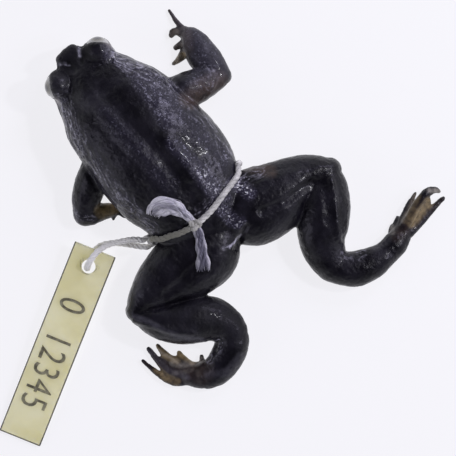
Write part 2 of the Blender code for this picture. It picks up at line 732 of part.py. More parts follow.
remesh = flesh.modifiers.new("Fuse", "REMESH")
remesh.mode = "VOXEL"
remesh.voxel_size = VOXEL
smooth = flesh.modifiers.new("Ease", "SMOOTH")
smooth.factor = 0.5
smooth.iterations = SMOOTH_ROUNDS
apply_modifiers(flesh)
add_relief(flesh.data)
add_lips(flesh.data)
thin_out(flesh, lambda co: co.y < HEAD_FINE_Y and abs(co.x) < HEAD_FINE_X, HEAD_TRIANGLES)
thin_out(flesh, lambda co: co.y > HEAD_FINE_Y or abs(co.x) > HEAD_FINE_X, BODY_TRIANGLES)

whole = bmesh.new()
whole.from_mesh(flesh.data)
surface = BVHTree.FromBMesh(whole)
whole.free()

# Flats on the floor and thin cuts between the nodes
bpy.ops.mesh.primitive_cube_add(size=1.0)
floor = bpy.context.object
floor.name = "floor_cut"
floor_place = Matrix.Translation((0, FLOOR_BLOCK_Y, -FLOOR_BLOCK[2] / 2))
floor.data.transform(floor_place @ Matrix.Diagonal((*FLOOR_BLOCK, 1)))
slabs = [floor]
for index, (x, y, turn, half_length, top) in enumerate(CUTS):
    bpy.ops.mesh.primitive_cube_add(size=1.0)
    slab = bpy.context.object
    slab.name = f"slab_{index:02d}"
    height = top + 1
    place = Matrix.Translation((x, y, top - height / 2)) @ Matrix.Rotation(radians(turn), 4, "Z")
    slab.data.transform(place @ Matrix.Diagonal((2 * half_length, GAP, height, 1)))
    slabs.append(slab)
for slab in slabs:
    for owner in list(slab.users_collection):
        owner.objects.unlink(slab)
    cutters.objects.link(slab)
    hide_cutter(slab)
cut(flesh, cutters)

# Each closed surface becomes the node whose seed lies in it
nodes = {}
for members in largest_islands(flesh.data)[: len(NODE_SEEDS)]:
    piece = island_object(flesh.data, members, "piece", parts)
    piece.name = next(name for name, seed in NODE_SEEDS.items() if is_inside(piece.data, seed))
    nodes[piece.name] = piece
bpy.data.objects.remove(flesh)

# Sockets, mouth and nostrils are cut into the head
head_cutters = new_collection("head_cutters")
bm = bmesh.new()
for middle, look in EYES.values():
    add_ball(bm, eyeball_centre(middle, look), (EYE_RADIUS + GAP,) * 3, 20, 12)
hide_cutter(object_from(bm, "sockets", head_cutters))
bm = bmesh.new()
for middle, look in EYES.values():
    bmesh.ops.create_cone(
        bm,
        cap_ends=True,
        segments=24,
        radius1=WINDOW_TIP_RADIUS,
        radius2=WINDOW_DEPTH * tan(radians(WINDOW_ANGLE)),
        depth=WINDOW_DEPTH,
        matrix=turned_to(middle, look) @ Matrix.Translation((0, 0, WINDOW_DEPTH / 2)),
    )
hide_cutter(object_from(bm, "lid_windows", head_cutters))

outline = [row for row in spline(TRUNK, 4) if row[0] <= MOUTH_CORNER_Y]
mouth = []
for side in (1, -1):
    rows = outline if side < 0 else list(reversed(outline))
    for y, right, left, low, high in rows:
        middle = low + WIDEST_LEVEL * (high - low)
        depth = (high - middle) if MOUTH_LEVEL > middle else (middle - low)
        share = min(MOUTH_LARGEST_SHARE, abs(MOUTH_LEVEL - middle) / depth)
        roundness = BACK_ROUNDNESS if MOUTH_LEVEL > middle else BELLY_ROUNDNESS
        width = (left if side > 0 else right) * (1 - share**roundness) ** (1 / roundness)
        mouth.append(Vector((side * width, y, MOUTH_LEVEL)))
mouth_line = []
for point in mouth:
    hit = surface.find_nearest(point)[0]
    mouth_line.append(Vector((hit.x, hit.y, MOUTH_LEVEL)))
front = surface.ray_cast(Vector((0, -RAY_HEIGHT, MOUTH_LEVEL)), Vector((0, 1, 0)))[0]
half = len(mouth_line) // 2
mouth_line = mouth_line[: half - 1 : 3] + [front] + mouth_line[half + 1 :][::3] + [mouth_line[-1]]
groove = tube_object("mouth_groove", spline(mouth_line, 2), MOUTH_GROOVE, head_cutters)
hide_cutter(groove)
bm = bmesh.new()
for x, y in NOSTRILS:
    hit = surface.ray_cast(Vector((x, y, RAY_HEIGHT)), Vector((0, 0, -1)))[0]
    add_ball(bm, hit, (NOSTRIL_RADIUS,) * 3, 10, 8)
hide_cutter(object_from(bm, "nostril_pits", head_cutters))
cut(nodes["head"], head_cutters)
for name, node in nodes.items():
    keep_largest(node)
    finish_node(node, pale_skin if name in PALE_NODES else skin)

# Eyeballs, each in its socket
for name, (middle, look) in EYES.items():
    bm = bmesh.new()
    add_ball(bm, eyeball_centre(middle, look), (EYE_RADIUS,) * 3, 18, 10)
    finish_node(object_from(bm, name, parts), eye_material)


def rest_on_skin(x, y, clearance):
    """The point over (x, y) that clears the skin by the given height."""
    hit = surface.ray_cast(Vector((x, y, RAY_HEIGHT)), Vector((0, 0, -1)))[0]
    return Vector((x, y, hit.z + clearance))


def skin_normal(point):
    """The way that the skin faces nearest to a point."""
    return surface.find_nearest(point)[1]


def push_clear(points, clearance):
    """Moves points away from the skin until each clears it."""
    for _ in range(6):
        for point in points:
            hit, normal, index, distance = surface.find_nearest(point)
            outside = (point - hit).dot(normal) > 0
            if not outside or distance < clearance:
                point += normal * (clearance - distance if outside else clearance + distance)
    return points


# The string round the waist, tied on the back
clearance = STRING_RADIUS + GAP + STRING_MARGIN
waist = [rest_on_skin(x, y, clearance) for x, y in WAIST_OVER_LEFT]
for level in WAIST_SIDE_LEVELS:
    hit = surface.ray_cast(Vector((0, WAIST_SIDE_Y, level)), Vector((1, 0, 0)))[0]
    waist.append(hit + Vector((clearance, 0, 0)))
for x in WAIST_UNDER_X:
    hit = surface.ray_cast(Vector((x, WAIST_SIDE_Y, RAY_DEPTH)), Vector((0, 0, 1)))[0]
    waist.append(hit - Vector((0, 0, clearance)))
for level in reversed(WAIST_SIDE_LEVELS):
    hit = surface.ray_cast(Vector((0, WAIST_SIDE_Y, level)), Vector((-1, 0, 0)))[0]
    waist.append(hit - Vector((clearance, 0, 0)))
waist += [rest_on_skin(x, y, clearance) for x, y in WAIST_OVER_RIGHT]
waist = push_clear([Vector(point) for point in spline([tuple(point) for point in waist], 2)], clearance)
finish_node(tube_object("string_waist", waist, STRING_RADIUS, parts), string_material)

# The knot: three turns of string pulled tight into one lump
knot_centre = rest_on_skin(KNOT[0], KNOT[1], KNOT_RADIUS + GAP + STRING_MARGIN)
bm = bmesh.new()
for index in range(KNOT_LUMPS):
    angle = 2 * pi * index / KNOT_LUMPS
    outward = Vector((cos(angle), sin(angle), 0)) * KNOT_RING_RADIUS
    wave = Vector((0, 0, sin(3 * angle))) * KNOT_RING_WAVE
    add_ball(bm, knot_centre + outward + wave, KNOT_LUMP_RADII, 10, 6)
add_ball(bm, knot_centre, KNOT_CORE_RADII, 12, 8)
knot = object_from(bm, "string_knot", parts)
remesh = knot.modifiers.new("Fuse", "REMESH")
remesh.mode = "VOXEL"
remesh.voxel_size = KNOT_VOXEL
apply_modifiers(knot)
keep_largest(knot)
finish_node(knot, string_material)

# The two frayed ends lie on the back and on the left thigh
for name, stations in (("string_curl", FRAYED_CURL), ("string_tail", FRAYED_TAIL)):
    rows = []
    for x, y, half_width, half_height in stations:
        point = rest_on_skin(x, y, half_height + GAP + FRAY_MARGIN)
        rows.append((*point, half_width, half_height))
    bm = bmesh.new()
    loft_limb(bm, rows, sides=DIGIT_SIDES, steps=2, upward=skin_normal)
    push_clear([vert.co for vert in bm.verts], GAP)
    finish_node(object_from(bm, name, parts), string_material)

# The tag: a stiff strip with a hole, lifted at one end by the string under it
near = Vector(TAG_NEAR_END)
far = Vector(TAG_FAR_END)
along = (near - far).normalized()
across = Vector((-along.y, along.x))
bm = bmesh.new()
bmesh.ops.create_grid(bm, x_segments=TAG_STEPS, y_segments=1, size=0.5)
bmesh.ops.transform(bm, matrix=Matrix.Diagonal((TAG_LENGTH, TAG_WIDTH, 1, 1)), verts=bm.verts)
bm.normal_update()
made = bmesh.ops.extrude_face_region(bm, geom=list(bm.faces))
top_verts = [item for item in made["geom"] if isinstance(item, bmesh.types.BMVert)]
bmesh.ops.translate(bm, verts=top_verts, vec=(0, 0, TAG_THICKNESS))
tag = object_from(bm, "tag", parts)
tag_cutters = new_collection("tag_cutters")
bpy.ops.mesh.primitive_cylinder_add(
    vertices=24,
    radius=TAG_HOLE_RADIUS,
    depth=4 * TAG_THICKNESS,
    location=(TAG_LENGTH / 2 - TAG_HOLE_INSET, 0, TAG_THICKNESS / 2),
)
hole = bpy.context.object
hole.name = "tag_hole"
for owner in list(hole.users_collection):
    owner.objects.unlink(hole)
tag_cutters.objects.link(hole)
hide_cutter(hole)
cut(tag, tag_cutters)
keep_largest(tag)
middle = (near + far) / 2
for vert in tag.data.vertices:
    share = vert.co.x / TAG_LENGTH + 0.5
    flat = middle + along * vert.co.x + across * vert.co.y
    lift = TAG_LIFT * share + TAG_BOW * sin(pi * share)
    vert.co = (flat.x, flat.y, lift + vert.co.z)
finish_node(tag, tag_material)

# The string through the tag's hole
finish_node(tube_object("string_tag", spline(TAG_STRING, 2), STRING_RADIUS, parts), string_material)
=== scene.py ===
from math import cos, pi, radians, sin, sqrt

import bmesh
import bpy
import numpy as np
from mathutils import Matrix, Vector, noise
from mathutils.bvhtree import BVHTree


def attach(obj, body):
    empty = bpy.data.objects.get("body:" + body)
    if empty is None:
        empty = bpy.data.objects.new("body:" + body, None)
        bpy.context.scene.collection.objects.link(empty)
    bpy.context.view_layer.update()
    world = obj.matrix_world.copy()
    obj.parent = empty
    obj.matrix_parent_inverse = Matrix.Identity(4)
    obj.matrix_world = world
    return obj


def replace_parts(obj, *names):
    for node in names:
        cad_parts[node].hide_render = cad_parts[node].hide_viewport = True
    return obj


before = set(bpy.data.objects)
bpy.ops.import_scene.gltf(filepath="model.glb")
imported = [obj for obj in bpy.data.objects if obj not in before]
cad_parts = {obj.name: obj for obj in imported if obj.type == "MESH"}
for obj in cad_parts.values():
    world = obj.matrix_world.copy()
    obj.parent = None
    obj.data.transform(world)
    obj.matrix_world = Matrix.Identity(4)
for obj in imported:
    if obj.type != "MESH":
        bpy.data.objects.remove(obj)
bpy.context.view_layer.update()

# The camera looks straight down from 0.6 m, turned so that the frog's head points to the
# picture's upper left. The picture is 85.7 mm wide at the height of the legs.
MM = 0.001
VIEW_TARGET = (-1.29, 21.36, 3.0)
VIEW_WIDTH = 85.7
VIEW_DISTANCE = 600.0
VIEW_TURN = 138.8
SENSOR_WIDTH = 36.0

camera_data = bpy.data.cameras.new("camera")
camera_data.sensor_width = SENSOR_WIDTH
camera_data.lens = SENSOR_WIDTH * VIEW_DISTANCE / VIEW_WIDTH
camera_data.clip_start = 0.01
camera_data.clip_end = 10.0
camera = bpy.data.objects.new("camera", camera_data)
camera.location = (Vector(VIEW_TARGET) + Vector((0, 0, VIEW_DISTANCE))) * MM
camera.rotation_euler = (0, 0, radians(VIEW_TURN))
bpy.context.scene.collection.objects.link(camera)
bpy.context.scene.camera = camera
bpy.context.scene.view_settings.view_transform = "Standard"


def new_shader(name, fixed):
    """A material, its node tree and its main shader with the values that are the same all over."""
    material = bpy.data.materials.new(name)
    material.use_nodes = True
    tree = material.node_tree
    shader = tree.nodes["Principled BSDF"]
    for socket, value in fixed.items():
        shader.inputs[socket].default_value = value
    return material, tree, shader


def feed(tree, socket, value):
    """Gives a socket a number or a colour, or links another node's output to it."""
    if isinstance(value, bpy.types.NodeSocket):
        tree.links.new(value, socket)
    else:
        socket.default_value = (*value, 1) if isinstance(value, tuple) else value


def attribute(tree, name):
    """The number that each vertex holds under a name."""
    node = tree.nodes.new("ShaderNodeAttribute")
    node.attribute_name = name
    return node.outputs["Fac"]


def textured(tree, kind, scale, detail, vector=None):
    """A texture node laid by place on the piece, or by another vector, with features of 1 / scale."""
    node = tree.nodes.new(kind)
    node.inputs["Scale"].default_value = scale
    node.inputs["Detail"].default_value = detail
    place = vector or tree.nodes.new("ShaderNodeTexCoord").outputs["Object"]
    feed(tree, node.inputs["Vector"], place)
    return node


def noise_texture(tree, scale, detail=2.0, vector=None):
    """The values of a noise texture."""
    return textured(tree, "ShaderNodeTexNoise", scale, detail, vector).outputs["Fac"]


def worked_out(tree, operation, *values):
    """The result of a sum on numbers or on other nodes' outputs."""
    node = tree.nodes.new("ShaderNodeMath")
    node.operation = operation
    for socket, value in zip(node.inputs, values):
        feed(tree, socket, value)
    return node.outputs[0]


def ranged(tree, value, low, high, out_low=0.0, out_high=1.0):
    """A value moved from one range to another and held inside it."""
    node = tree.nodes.new("ShaderNodeMapRange")
    for socket, number in zip(node.inputs, (value, low, high, out_low, out_high)):
        feed(tree, socket, number)
    return node.outputs["Result"]


def blended(tree, factor, first, second):
    """A colour between two others."""
    node = tree.nodes.new("ShaderNodeMix")
    node.data_type = "RGBA"
    for index, value in ((0, factor), (6, first), (7, second)):
        feed(tree, node.inputs[index], value)
    return node.outputs[2]


def ramped(tree, value, *stops):
    """A colour read from a ramp with stops of (position, colour)."""
    node = tree.nodes.new("ShaderNodeValToRGB")
    ramp = node.color_ramp.elements
    for index, (position, colour) in enumerate(stops):
        stop = ramp[index] if index < 2 else ramp.new(position)
        stop.position = position
        stop.color = (*colour, 1)
    feed(tree, node.inputs["Fac"], value)
    return node.outputs["Color"]


def roughen(tree, shader, height, strength, distance):
    """Bump on a shader, with its distance in millimetres."""
    node = tree.nodes.new("ShaderNodeBump")
    node.inputs["Strength"].default_value = strength
    node.inputs["Distance"].default_value = distance * MM
    feed(tree, node.inputs["Height"], height)
    feed(tree, shader.inputs["Normal"], node.outputs["Normal"])


# The floor is a plain sheet of white board that glows a little, as pale board does under
# soft studio light. The lamps are soft boxes: three over the frog's right side, and a fill on its left.
FLOOR_SIZE = 1600.0
FLOOR_LOOK = {
    "Base Color": (0.16, 0.16, 0.165, 1),
    "Roughness": 0.7,
    "Emission Color": (0.968, 0.962, 1.0, 1),
    "Emission Strength": 0.83,
}
# The sky is bright near the horizon and dim overhead.
SKY_COLOUR = (0.93, 0.94, 1.0, 1)
SKY_LEVELS = (0.15, 0.75)
SKY_STRENGTHS = (0.85, 0.05)
LAMPS = (
    # name, place, size, watts, colour
    ("key_box", (-390, -90, 290), 150, 0.52, (0.80, 0.76, 1.0)),
    ("side_box", (-290, 260, 330), 110, 0.32, (0.80, 0.76, 1.0)),
    ("small_box", (-260, 120, 330), 26, 0.50, (0.96, 0.95, 1.0)),
    ("fill_box", (330, -120, 240), 200, 0.18, (0.80, 0.76, 1.0)),
)

bm = bmesh.new()
bmesh.ops.create_grid(bm, x_segments=1, y_segments=1, size=FLOOR_SIZE / 2 * MM)
floor_mesh = bpy.data.meshes.new("floor")
bm.to_mesh(floor_mesh)
bm.free()
floor = bpy.data.objects.new("floor", floor_mesh)
bpy.context.scene.collection.objects.link(floor)
floor_mesh.materials.append(new_shader("white_board", FLOOR_LOOK)[0])

sky = bpy.data.worlds.new("studio")
bpy.context.scene.world = sky
sky.use_nodes = True
tree = sky.node_tree
split = tree.nodes.new("ShaderNodeSeparateXYZ")
background = tree.nodes["Background"]
background.inputs["Color"].default_value = SKY_COLOUR
feed(tree, split.inputs[0], tree.nodes.new("ShaderNodeTexCoord").outputs["Generated"])
strength = ranged(tree, split.outputs["Z"], *SKY_LEVELS, *SKY_STRENGTHS)
feed(tree, background.inputs["Strength"], strength)

for name, place, size, watts, colour in LAMPS:
    lamp = bpy.data.lights.new(name, "AREA")
    lamp.shape = "SQUARE"
    lamp.size = size * MM
    lamp.energy = watts
    lamp.color = colour
    holder = bpy.data.objects.new(name, lamp)
    holder.location = Vector(place) * MM
    aim = Vector(VIEW_TARGET) - Vector(place)
    holder.rotation_euler = aim.to_track_quat("-Z", "Y").to_euler()
    bpy.context.scene.collection.objects.link(holder)


# The tag's string is a loop of three-ply cotton, 1.2 mm thick. It leaves the waist string on the
# frog's left, goes over the tag's end, down through its hole and back underneath.
STRING_RADIUS = 0.6
PLIES = 3
PLY_RADIUS = 0.36
PLY_SIDES = 10
TWIST_PITCH = 3.2
RING_SPACING = 0.16
THREAD_MAP_SCALE = 0.25
THREAD_SLANT = 16.0
THREAD_STRETCH = (1.6, 14.0, 1.0)
TAG_STRING = (
    (12.2, 12.6, 4.7),
    (13.5, 11.3, 3.8),
    (15.6, 10.0, 3.3),
    (17.8, 8.9, 3.6),
    (19.8, 8.6, 4.5),
    (21.4, 8.8, 5.2),
    (22.6, 9.1, 5.25),
    (23.4, 9.4, 4.5),
    (23.6, 9.6, 3.2),
    (23.45, 9.6, 2.0),
    (22.9, 9.2, 1.1),
    (21.4, 8.3, 0.75),
    (19.2, 8.0, 0.68),
    (16.9, 9.2, 0.68),
    (14.9, 11.3, 0.9),
    (13.5, 13.0, 1.5),
    (12.4, 14.1, 2.3),
)


def spline(points, steps):
    """Points of a smooth curve through the given rows, which may hold any number of values."""
    out = []
    for index in range(len(points) - 1):
        rows = [points[min(max(index + k, 0), len(points) - 1)] for k in (-1, 0, 1, 2)]
        for step in range(steps):
            t = step / steps
            weights = (
                -t + 2 * t**2 - t**3,
                2 - 5 * t**2 + 3 * t**3,
                t + 4 * t**2 - 3 * t**3,
                t**3 - t**2,
            )
            out.append(tuple(sum(w * v for w, v in zip(weights, column)) / 2 for column in zip(*rows)))
    out.append(tuple(points[-1]))
    return out


def evenly(points, spacing):
    """The same line with points at an even spacing."""
    line = [Vector(point) for point in points]
    lengths = [0.0]
    for start, end in zip(line, line[1:]):
        lengths.append(lengths[-1] + (end - start).length)
    count = max(2, round(lengths[-1] / spacing))
    out = []
    index = 0
    for step in range(count + 1):
        target = lengths[-1] * step / count
        while index < len(line) - 2 and lengths[index + 1] < target:
            index += 1
        span = max(lengths[index + 1] - lengths[index], 1e-9)
        out.append(line[index].lerp(line[index + 1], (target - lengths[index]) / span))
    return out


def steady_frames(line):
    """For each point of a line: the way it runs, and two ways across it that turn little."""
    last = len(line) - 1
    frames = []
    side = None
    for index in range(len(line)):
        run = (line[min(index + 1, last)] - line[max(index - 1, 0)]).normalized()
        if side is None:
            side = run.cross(Vector((0, 0, 1)))
            if side.length < 0.2:
                side = run.cross(Vector((1, 0, 0)))
        side = (side - run * side.dot(run)).normalized()
        frames.append((run, side, run.cross(side)))
    return frames


def finished_mesh(obj):
    """A mesh of an object as it comes out of its modifiers or its text."""
    bpy.context.view_layer.update()
    return bpy.data.meshes.new_from_object(obj.evaluated_get(bpy.context.evaluated_depsgraph_get()))


def pour_into(bm, part):
    """Adds a small bmesh to a larger one, which is quicker than drawing it there."""
    mesh = bpy.data.meshes.new("part")
    part.to_mesh(mesh)
    part.free()
    bm.from_mesh(mesh)
    bpy.data.meshes.remove(mesh)


def verts_made(result):
    """The vertices among what a mesh operation made."""
    return [item for item in result["geom"] if isinstance(item, bmesh.types.BMVert)]


def edges_of(ring):
    """The edges that join the vertices of a ring."""
    members = set(ring)
    return [edge for edge in {e for v in ring for e in v.link_edges} if set(edge.verts) <= members]


def sweep_tube(whole, line, radii, sides):
    """A closed tube along a line, with a radius for each point. Its UV map runs along and round it."""
    bm = bmesh.new()
    uv = bm.loops.layers.uv.verify()
    frames = steady_frames(line)
    first = bmesh.ops.create_circle(bm, segments=sides, radius=1.0, cap_ends=False)["verts"]
    circle = [vert.co.copy() for vert in first]
    rings = []
    run_length = 0.0
    ring = first
    for index, point in enumerate(line):
        if index:
            order = {vert: k for k, vert in enumerate(ring)}
            matched = [None] * sides
            for vert in verts_made(bmesh.ops.extrude_edge_only(bm, edges=edges_of(ring))):
                for edge in vert.link_edges:
                    other = edge.other_vert(vert)
                    if other in order:
                        matched[order[other]] = vert
            ring = matched
            run_length += (point - line[index - 1]).length
        run, side, up = frames[index]
        for vert, place in zip(ring, circle):
            vert.co = point + (side * place.x + up * place.y) * radii[index]
        rings.append((ring, run_length))
    for (near, start), (far, end) in zip(rings, rings[1:]):
        for k in range(sides):
            corners = {near[k]: (start, k), near[(k + 1) % sides]: (start, k + 1)}
            corners[far[k]] = (end, k)
            corners[far[(k + 1) % sides]] = (end, k + 1)
            edge = bm.edges.get((near[k], near[(k + 1) % sides]))
            for face in edge.link_faces:
                if all(vert in corners for vert in face.verts):
                    for loop in face.loops:
                        along, around = corners[loop.vert]
                        loop[uv].uv = (along * THREAD_MAP_SCALE, around / sides)
    for end_ring, toward in ((rings[0][0], -frames[0][0]), (rings[-1][0], frames[-1][0])):
        cap = bmesh.ops.contextual_create(bm, geom=end_ring)["faces"]
        poked = bmesh.ops.poke(bm, faces=cap)["verts"]
        for vert in poked:
            vert.co += toward * radii[0] * 0.5
    pour_into(whole, bm)


def twist_plies(bm, line, radius=STRING_RADIUS, ply_radius=PLY_RADIUS):
    """Twists plies of cotton round a line that has even spacing."""
    frames = steady_frames(line)
    reach = radius - ply_radius
    for ply in range(PLIES):
        run_length = 0.0
        strand = []
        for index, point in enumerate(line):
            if index:
                run_length += (point - line[index - 1]).length
            angle = 2 * pi * (ply / PLIES + run_length / TWIST_PITCH)
            run, side, up = frames[index]
            strand.append(point + (side * cos(angle) + up * sin(angle)) * reach)
        sweep_tube(bm, strand, [ply_radius] * len(strand), PLY_SIDES)


def add_piece(bm, name, material, smooth=True):
    """A finished piece from a bmesh in millimetres, riding on the one body, with its place in its mesh."""
    bmesh.ops.recalc_face_normals(bm, faces=bm.faces)
    mesh = bpy.data.meshes.new(name)
    bm.to_mesh(mesh)
    bm.free()
    mesh.transform(Matrix.Scale(MM, 4))
    mesh.materials.append(material)
    if smooth:
        mesh.shade_smooth()
    piece = bpy.data.objects.new(name, mesh)
    bpy.context.scene.collection.objects.link(piece)
    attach(piece, "root")
    return piece


def write_values(piece, name, values):
    """Puts a number on each vertex, for the piece's material to read."""
    layer = piece.data.attributes.new(name, "FLOAT", "POINT")
    layer.data.foreach_set("value", np.asarray(values, dtype=np.float32))


def cotton(name, colour, shade, stain):
    """Damp cotton: threads along each ply with painted shade between them, and stained where "soiled" says.
    """
    material, tree, shader = new_shader(name, {"Roughness": 0.55, "Sheen Weight": 0.25})
    along_ply = tree.nodes.new("ShaderNodeMapping")
    along_ply.inputs["Scale"].default_value = THREAD_STRETCH
    along_ply.inputs["Rotation"].default_value = (0, 0, radians(THREAD_SLANT))
    feed(tree, along_ply.inputs["Vector"], tree.nodes.new("ShaderNodeUVMap").outputs["UV"])
    threads = noise_texture(tree, 2.6, 4.0, along_ply.outputs["Vector"])
    blotches = noise_texture(tree, 700.0, 4.0)
    shading = worked_out(tree, "MULTIPLY_ADD", threads, 0.55, blotches)
    clean = ramped(tree, shading, (0.60, shade), (0.95, colour))
    feed(tree, shader.inputs["Base Color"], blended(tree, attribute(tree, "soiled"), clean, stain))
    roughen(tree, shader, threads, strength=0.7, distance=0.08)
    return material


def cotton_piece(bm, name, material, stains):
    """A piece of cotton, stained by one share or by a share for each vertex."""
    piece = add_piece(bm, name, material)
    if isinstance(stains, float):
        stains = [stains] * len(piece.data.vertices)
    write_values(piece, "soiled", stains)
    return piece


string_cotton = cotton("string_cotton", (0.95, 0.93, 0.90), (0.52, 0.51, 0.50), (0.16, 0.155, 0.115))
loop_cotton = cotton("loop_cotton", (1.0, 0.99, 0.96), (0.95, 0.94, 0.90), (0.6, 0.58, 0.5))
tag_line = evenly(spline(TAG_STRING, 6), RING_SPACING)
bm = bmesh.new()
twist_plies(bm, tag_line)
tag_loop = add_piece(bm, "tag_loop", loop_cotton)
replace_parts(tag_loop, "string_tag")


# The tag is a stiff strip of cream plastic card, 38.5 mm by 8.3 mm, with a punched hole. The string
# under its near end lifts that end off the floor. Plain digits are stamped along it.
TAG_LENGTH = 38.5
TAG_WIDTH = 8.25
TAG_THICKNESS = 0.8
TAG_EDGE = 0.2
TAG_FAR_END = (54.45, 25.35)
TAG_NEAR_END = (20.05, 7.95)
TAG_DEPTH = 2.2
TAG_LIFT = 2.6
TAG_BOW = 0.5
TAG_HOLE_RADIUS = 1.3
TAG_HOLE_INSET = 3.5
TAG_CREAM = (0.84, 0.81, 0.60)
TAG_STAIN = (0.74, 0.71, 0.49)
TAG_RIM_SHADE = (0.09, 0.09, 0.08)
TAG_CROSS_CUTS = 40
TAG_RIM_BLEND = 0.1
TAG_RIM_SLACK = 0.01
DIGITS = "0  12345"
DIGIT_HEIGHT = 5.06
DIGIT_WIDTH_SHARE = 0.78
DIGIT_SHARE_OF_SIZE = 0.7
DIGIT_SPACING = 1.12
DIGIT_THINNING = 0.02
LONGEST_DIGIT_EDGE = 1.2
DIGIT_START = 10.1
DIGIT_INK = (0.11, 0.10, 0.062)
DIGIT_PROUD = 0.03


def bent_to_tag(bm):
    """A flat shape, drawn round the strip's middle, moved to where the strip lies and bows."""
    mesh = bpy.data.meshes.new("shape")
    bm.to_mesh(mesh)
    bm.free()
    near = Vector(TAG_NEAR_END)
    far = Vector(TAG_FAR_END)
    along = (near - far).normalized()
    across = Vector((-along.y, along.x))
    middle = (near + far) / 2
    for vert in mesh.vertices:
        share = vert.co.x / TAG_LENGTH + 0.5
        flat = middle + along * vert.co.x + across * vert.co.y
        lift = TAG_LIFT * share + TAG_BOW * sin(pi * share)
        vert.co = (flat.x, flat.y, lift + vert.co.z)
    bent = bmesh.new()
    bent.from_mesh(mesh)
    bpy.data.meshes.remove(mesh)
    return bent


def tag_card():
    """Cream plastic with faint stains, a dull gloss and painted shade on its cut edges."""
    depth = {
        "Subsurface Weight": 1.0,
        "Subsurface Radius": (1.0, 0.95, 0.75),
        "Subsurface Scale": TAG_DEPTH * MM,
    }
    material, tree, shader = new_shader("tag_card", depth)
    stains = noise_texture(tree, 170.0, 5.0)
    cream = ramped(tree, stains, (0.34, TAG_STAIN), (0.62, TAG_CREAM))
    feed(tree, shader.inputs["Base Color"], blended(tree, attribute(tree, "rim"), cream, TAG_RIM_SHADE))
    feed(tree, shader.inputs["Roughness"], ranged(tree, stains, 0.0, 1.0, 0.32, 0.55))
    roughen(tree, shader, noise_texture(tree, 2400.0), strength=0.15, distance=0.05)
    return material


half_length = TAG_LENGTH / 2
half_width = TAG_WIDTH / 2
bm = bmesh.new()
bmesh.ops.create_circle(
    bm, segments=40, radius=TAG_HOLE_RADIUS, matrix=Matrix.Translation((half_length - TAG_HOLE_INSET, 0, 0))
)
corners = []
for x, y in ((-1, -1), (1, -1), (1, 1), (-1, 1)):
    corners.append(bm.verts.new((x * half_length, y * half_width, 0)))
for start, end in zip(corners, corners[1:] + corners[:1]):
    bm.edges.new((start, end))
bmesh.ops.triangle_fill(bm, edges=bm.edges, use_beauty=True)
cuts = []
for step in range(1, TAG_CROSS_CUTS):
    cuts.append(((TAG_LENGTH * step / TAG_CROSS_CUTS - half_length, 0, 0), (1, 0, 0)))
for inset in (TAG_EDGE, TAG_EDGE + TAG_RIM_BLEND):
    cuts.append(((inset - half_length, 0, 0), (1, 0, 0)))
for side in (-1, 1):
    for inset in (TAG_EDGE, TAG_EDGE + TAG_RIM_BLEND):
        cuts.append(((0, side * (half_width - inset), 0), (0, 1, 0)))
for middle, across in cuts:
    plane = bm.verts[:] + bm.edges[:] + bm.faces[:]
    bmesh.ops.bisect_plane(bm, geom=plane, plane_co=middle, plane_no=across, dist=0.001)
lifted = verts_made(bmesh.ops.extrude_face_region(bm, geom=bm.faces[:]))
bmesh.ops.translate(bm, verts=lifted, vec=(0, 0, TAG_THICKNESS))
bmesh.ops.recalc_face_normals(bm, faces=bm.faces)
rims = [edge for edge in bm.edges if edge.is_manifold and edge.calc_face_angle() > radians(60)]
bmesh.ops.bevel(bm, geom=rims, offset=TAG_EDGE, segments=3, profile=0.5, affect="EDGES", material=-1)
# painted shade on the cut edges of the long sides and the far end
rim_shade_shares = []
for vert in bm.verts:
    on_side = abs(vert.co.y) > half_width - TAG_EDGE - TAG_RIM_SLACK
    rim_shade_shares.append(float(on_side or vert.co.x < TAG_EDGE + TAG_RIM_SLACK - half_length))
tag_strip = add_piece(bent_to_tag(bm), "tag_strip", tag_card())
tag_strip.data.set_sharp_from_angle(angle=radians(50))
write_values(tag_strip, "rim", rim_shade_shares)
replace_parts(tag_strip, "tag")

text = bpy.data.curves.new("digits", "FONT")
text.body = DIGITS
text.size = DIGIT_HEIGHT / DIGIT_SHARE_OF_SIZE
text.space_character = DIGIT_SPACING
text.align_y = "CENTER"
text.extrude = DIGIT_PROUD
text.offset = -DIGIT_THINNING
holder = bpy.data.objects.new("digits", text)
bpy.context.scene.collection.objects.link(holder)
mesh = finished_mesh(holder)
bpy.data.objects.remove(holder)
bm = bmesh.new()
bm.from_mesh(mesh)
bmesh.ops.remove_doubles(bm, verts=bm.verts, dist=0.0005)
long_edges = [edge for edge in bm.edges if edge.calc_length() > LONGEST_DIGIT_EDGE]
bmesh.ops.subdivide_edges(bm, edges=long_edges, cuts=3)
middle_y = sum(vert.co.y for vert in bm.verts) / len(bm.verts)
for vert in bm.verts:
    x = half_length - DIGIT_START - vert.co.x * DIGIT_WIDTH_SHARE
    vert.co = (x, middle_y - vert.co.y, TAG_THICKNESS + vert.co.z)
ink, tree, shader = new_shader("stamped_ink", {"Roughness": 0.6})
worn = tuple(0.5 * (a + b) for a, b in zip(DIGIT_INK, TAG_STAIN))
ink_colour = ramped(tree, noise_texture(tree, 900.0, 4.0), (0.35, DIGIT_INK), (0.75, worn))
feed(tree, shader.inputs["Base Color"], ink_colour)
tag_digits = add_piece(bent_to_tag(bm), "tag_digits", ink, smooth=False)


# The skin is one closed surface over the whole animal, wet and nearly black, as spirit-kept frogs
# are. It is lofted from oval sections, fused into one body, and then shaped fold by fold.
VOXEL = 0.21
EASE_ROUNDS = 9
EASE_FACTOR = 0.5
SKIN_TRIANGLES = 190000
TRUNK_SIDES = 96
LIMB_SIDES = 48
DIGIT_SIDES = 24
DOME_ANGLES = (20, 40, 58, 74)
BALL_SEGMENTS = 48
BALL_RINGS = 28
WEB_STEPS = 12
WIDEST_LEVEL = 0.40
BACK_ROUNDNESS = 2.15
BELLY_ROUNDNESS = 2.4
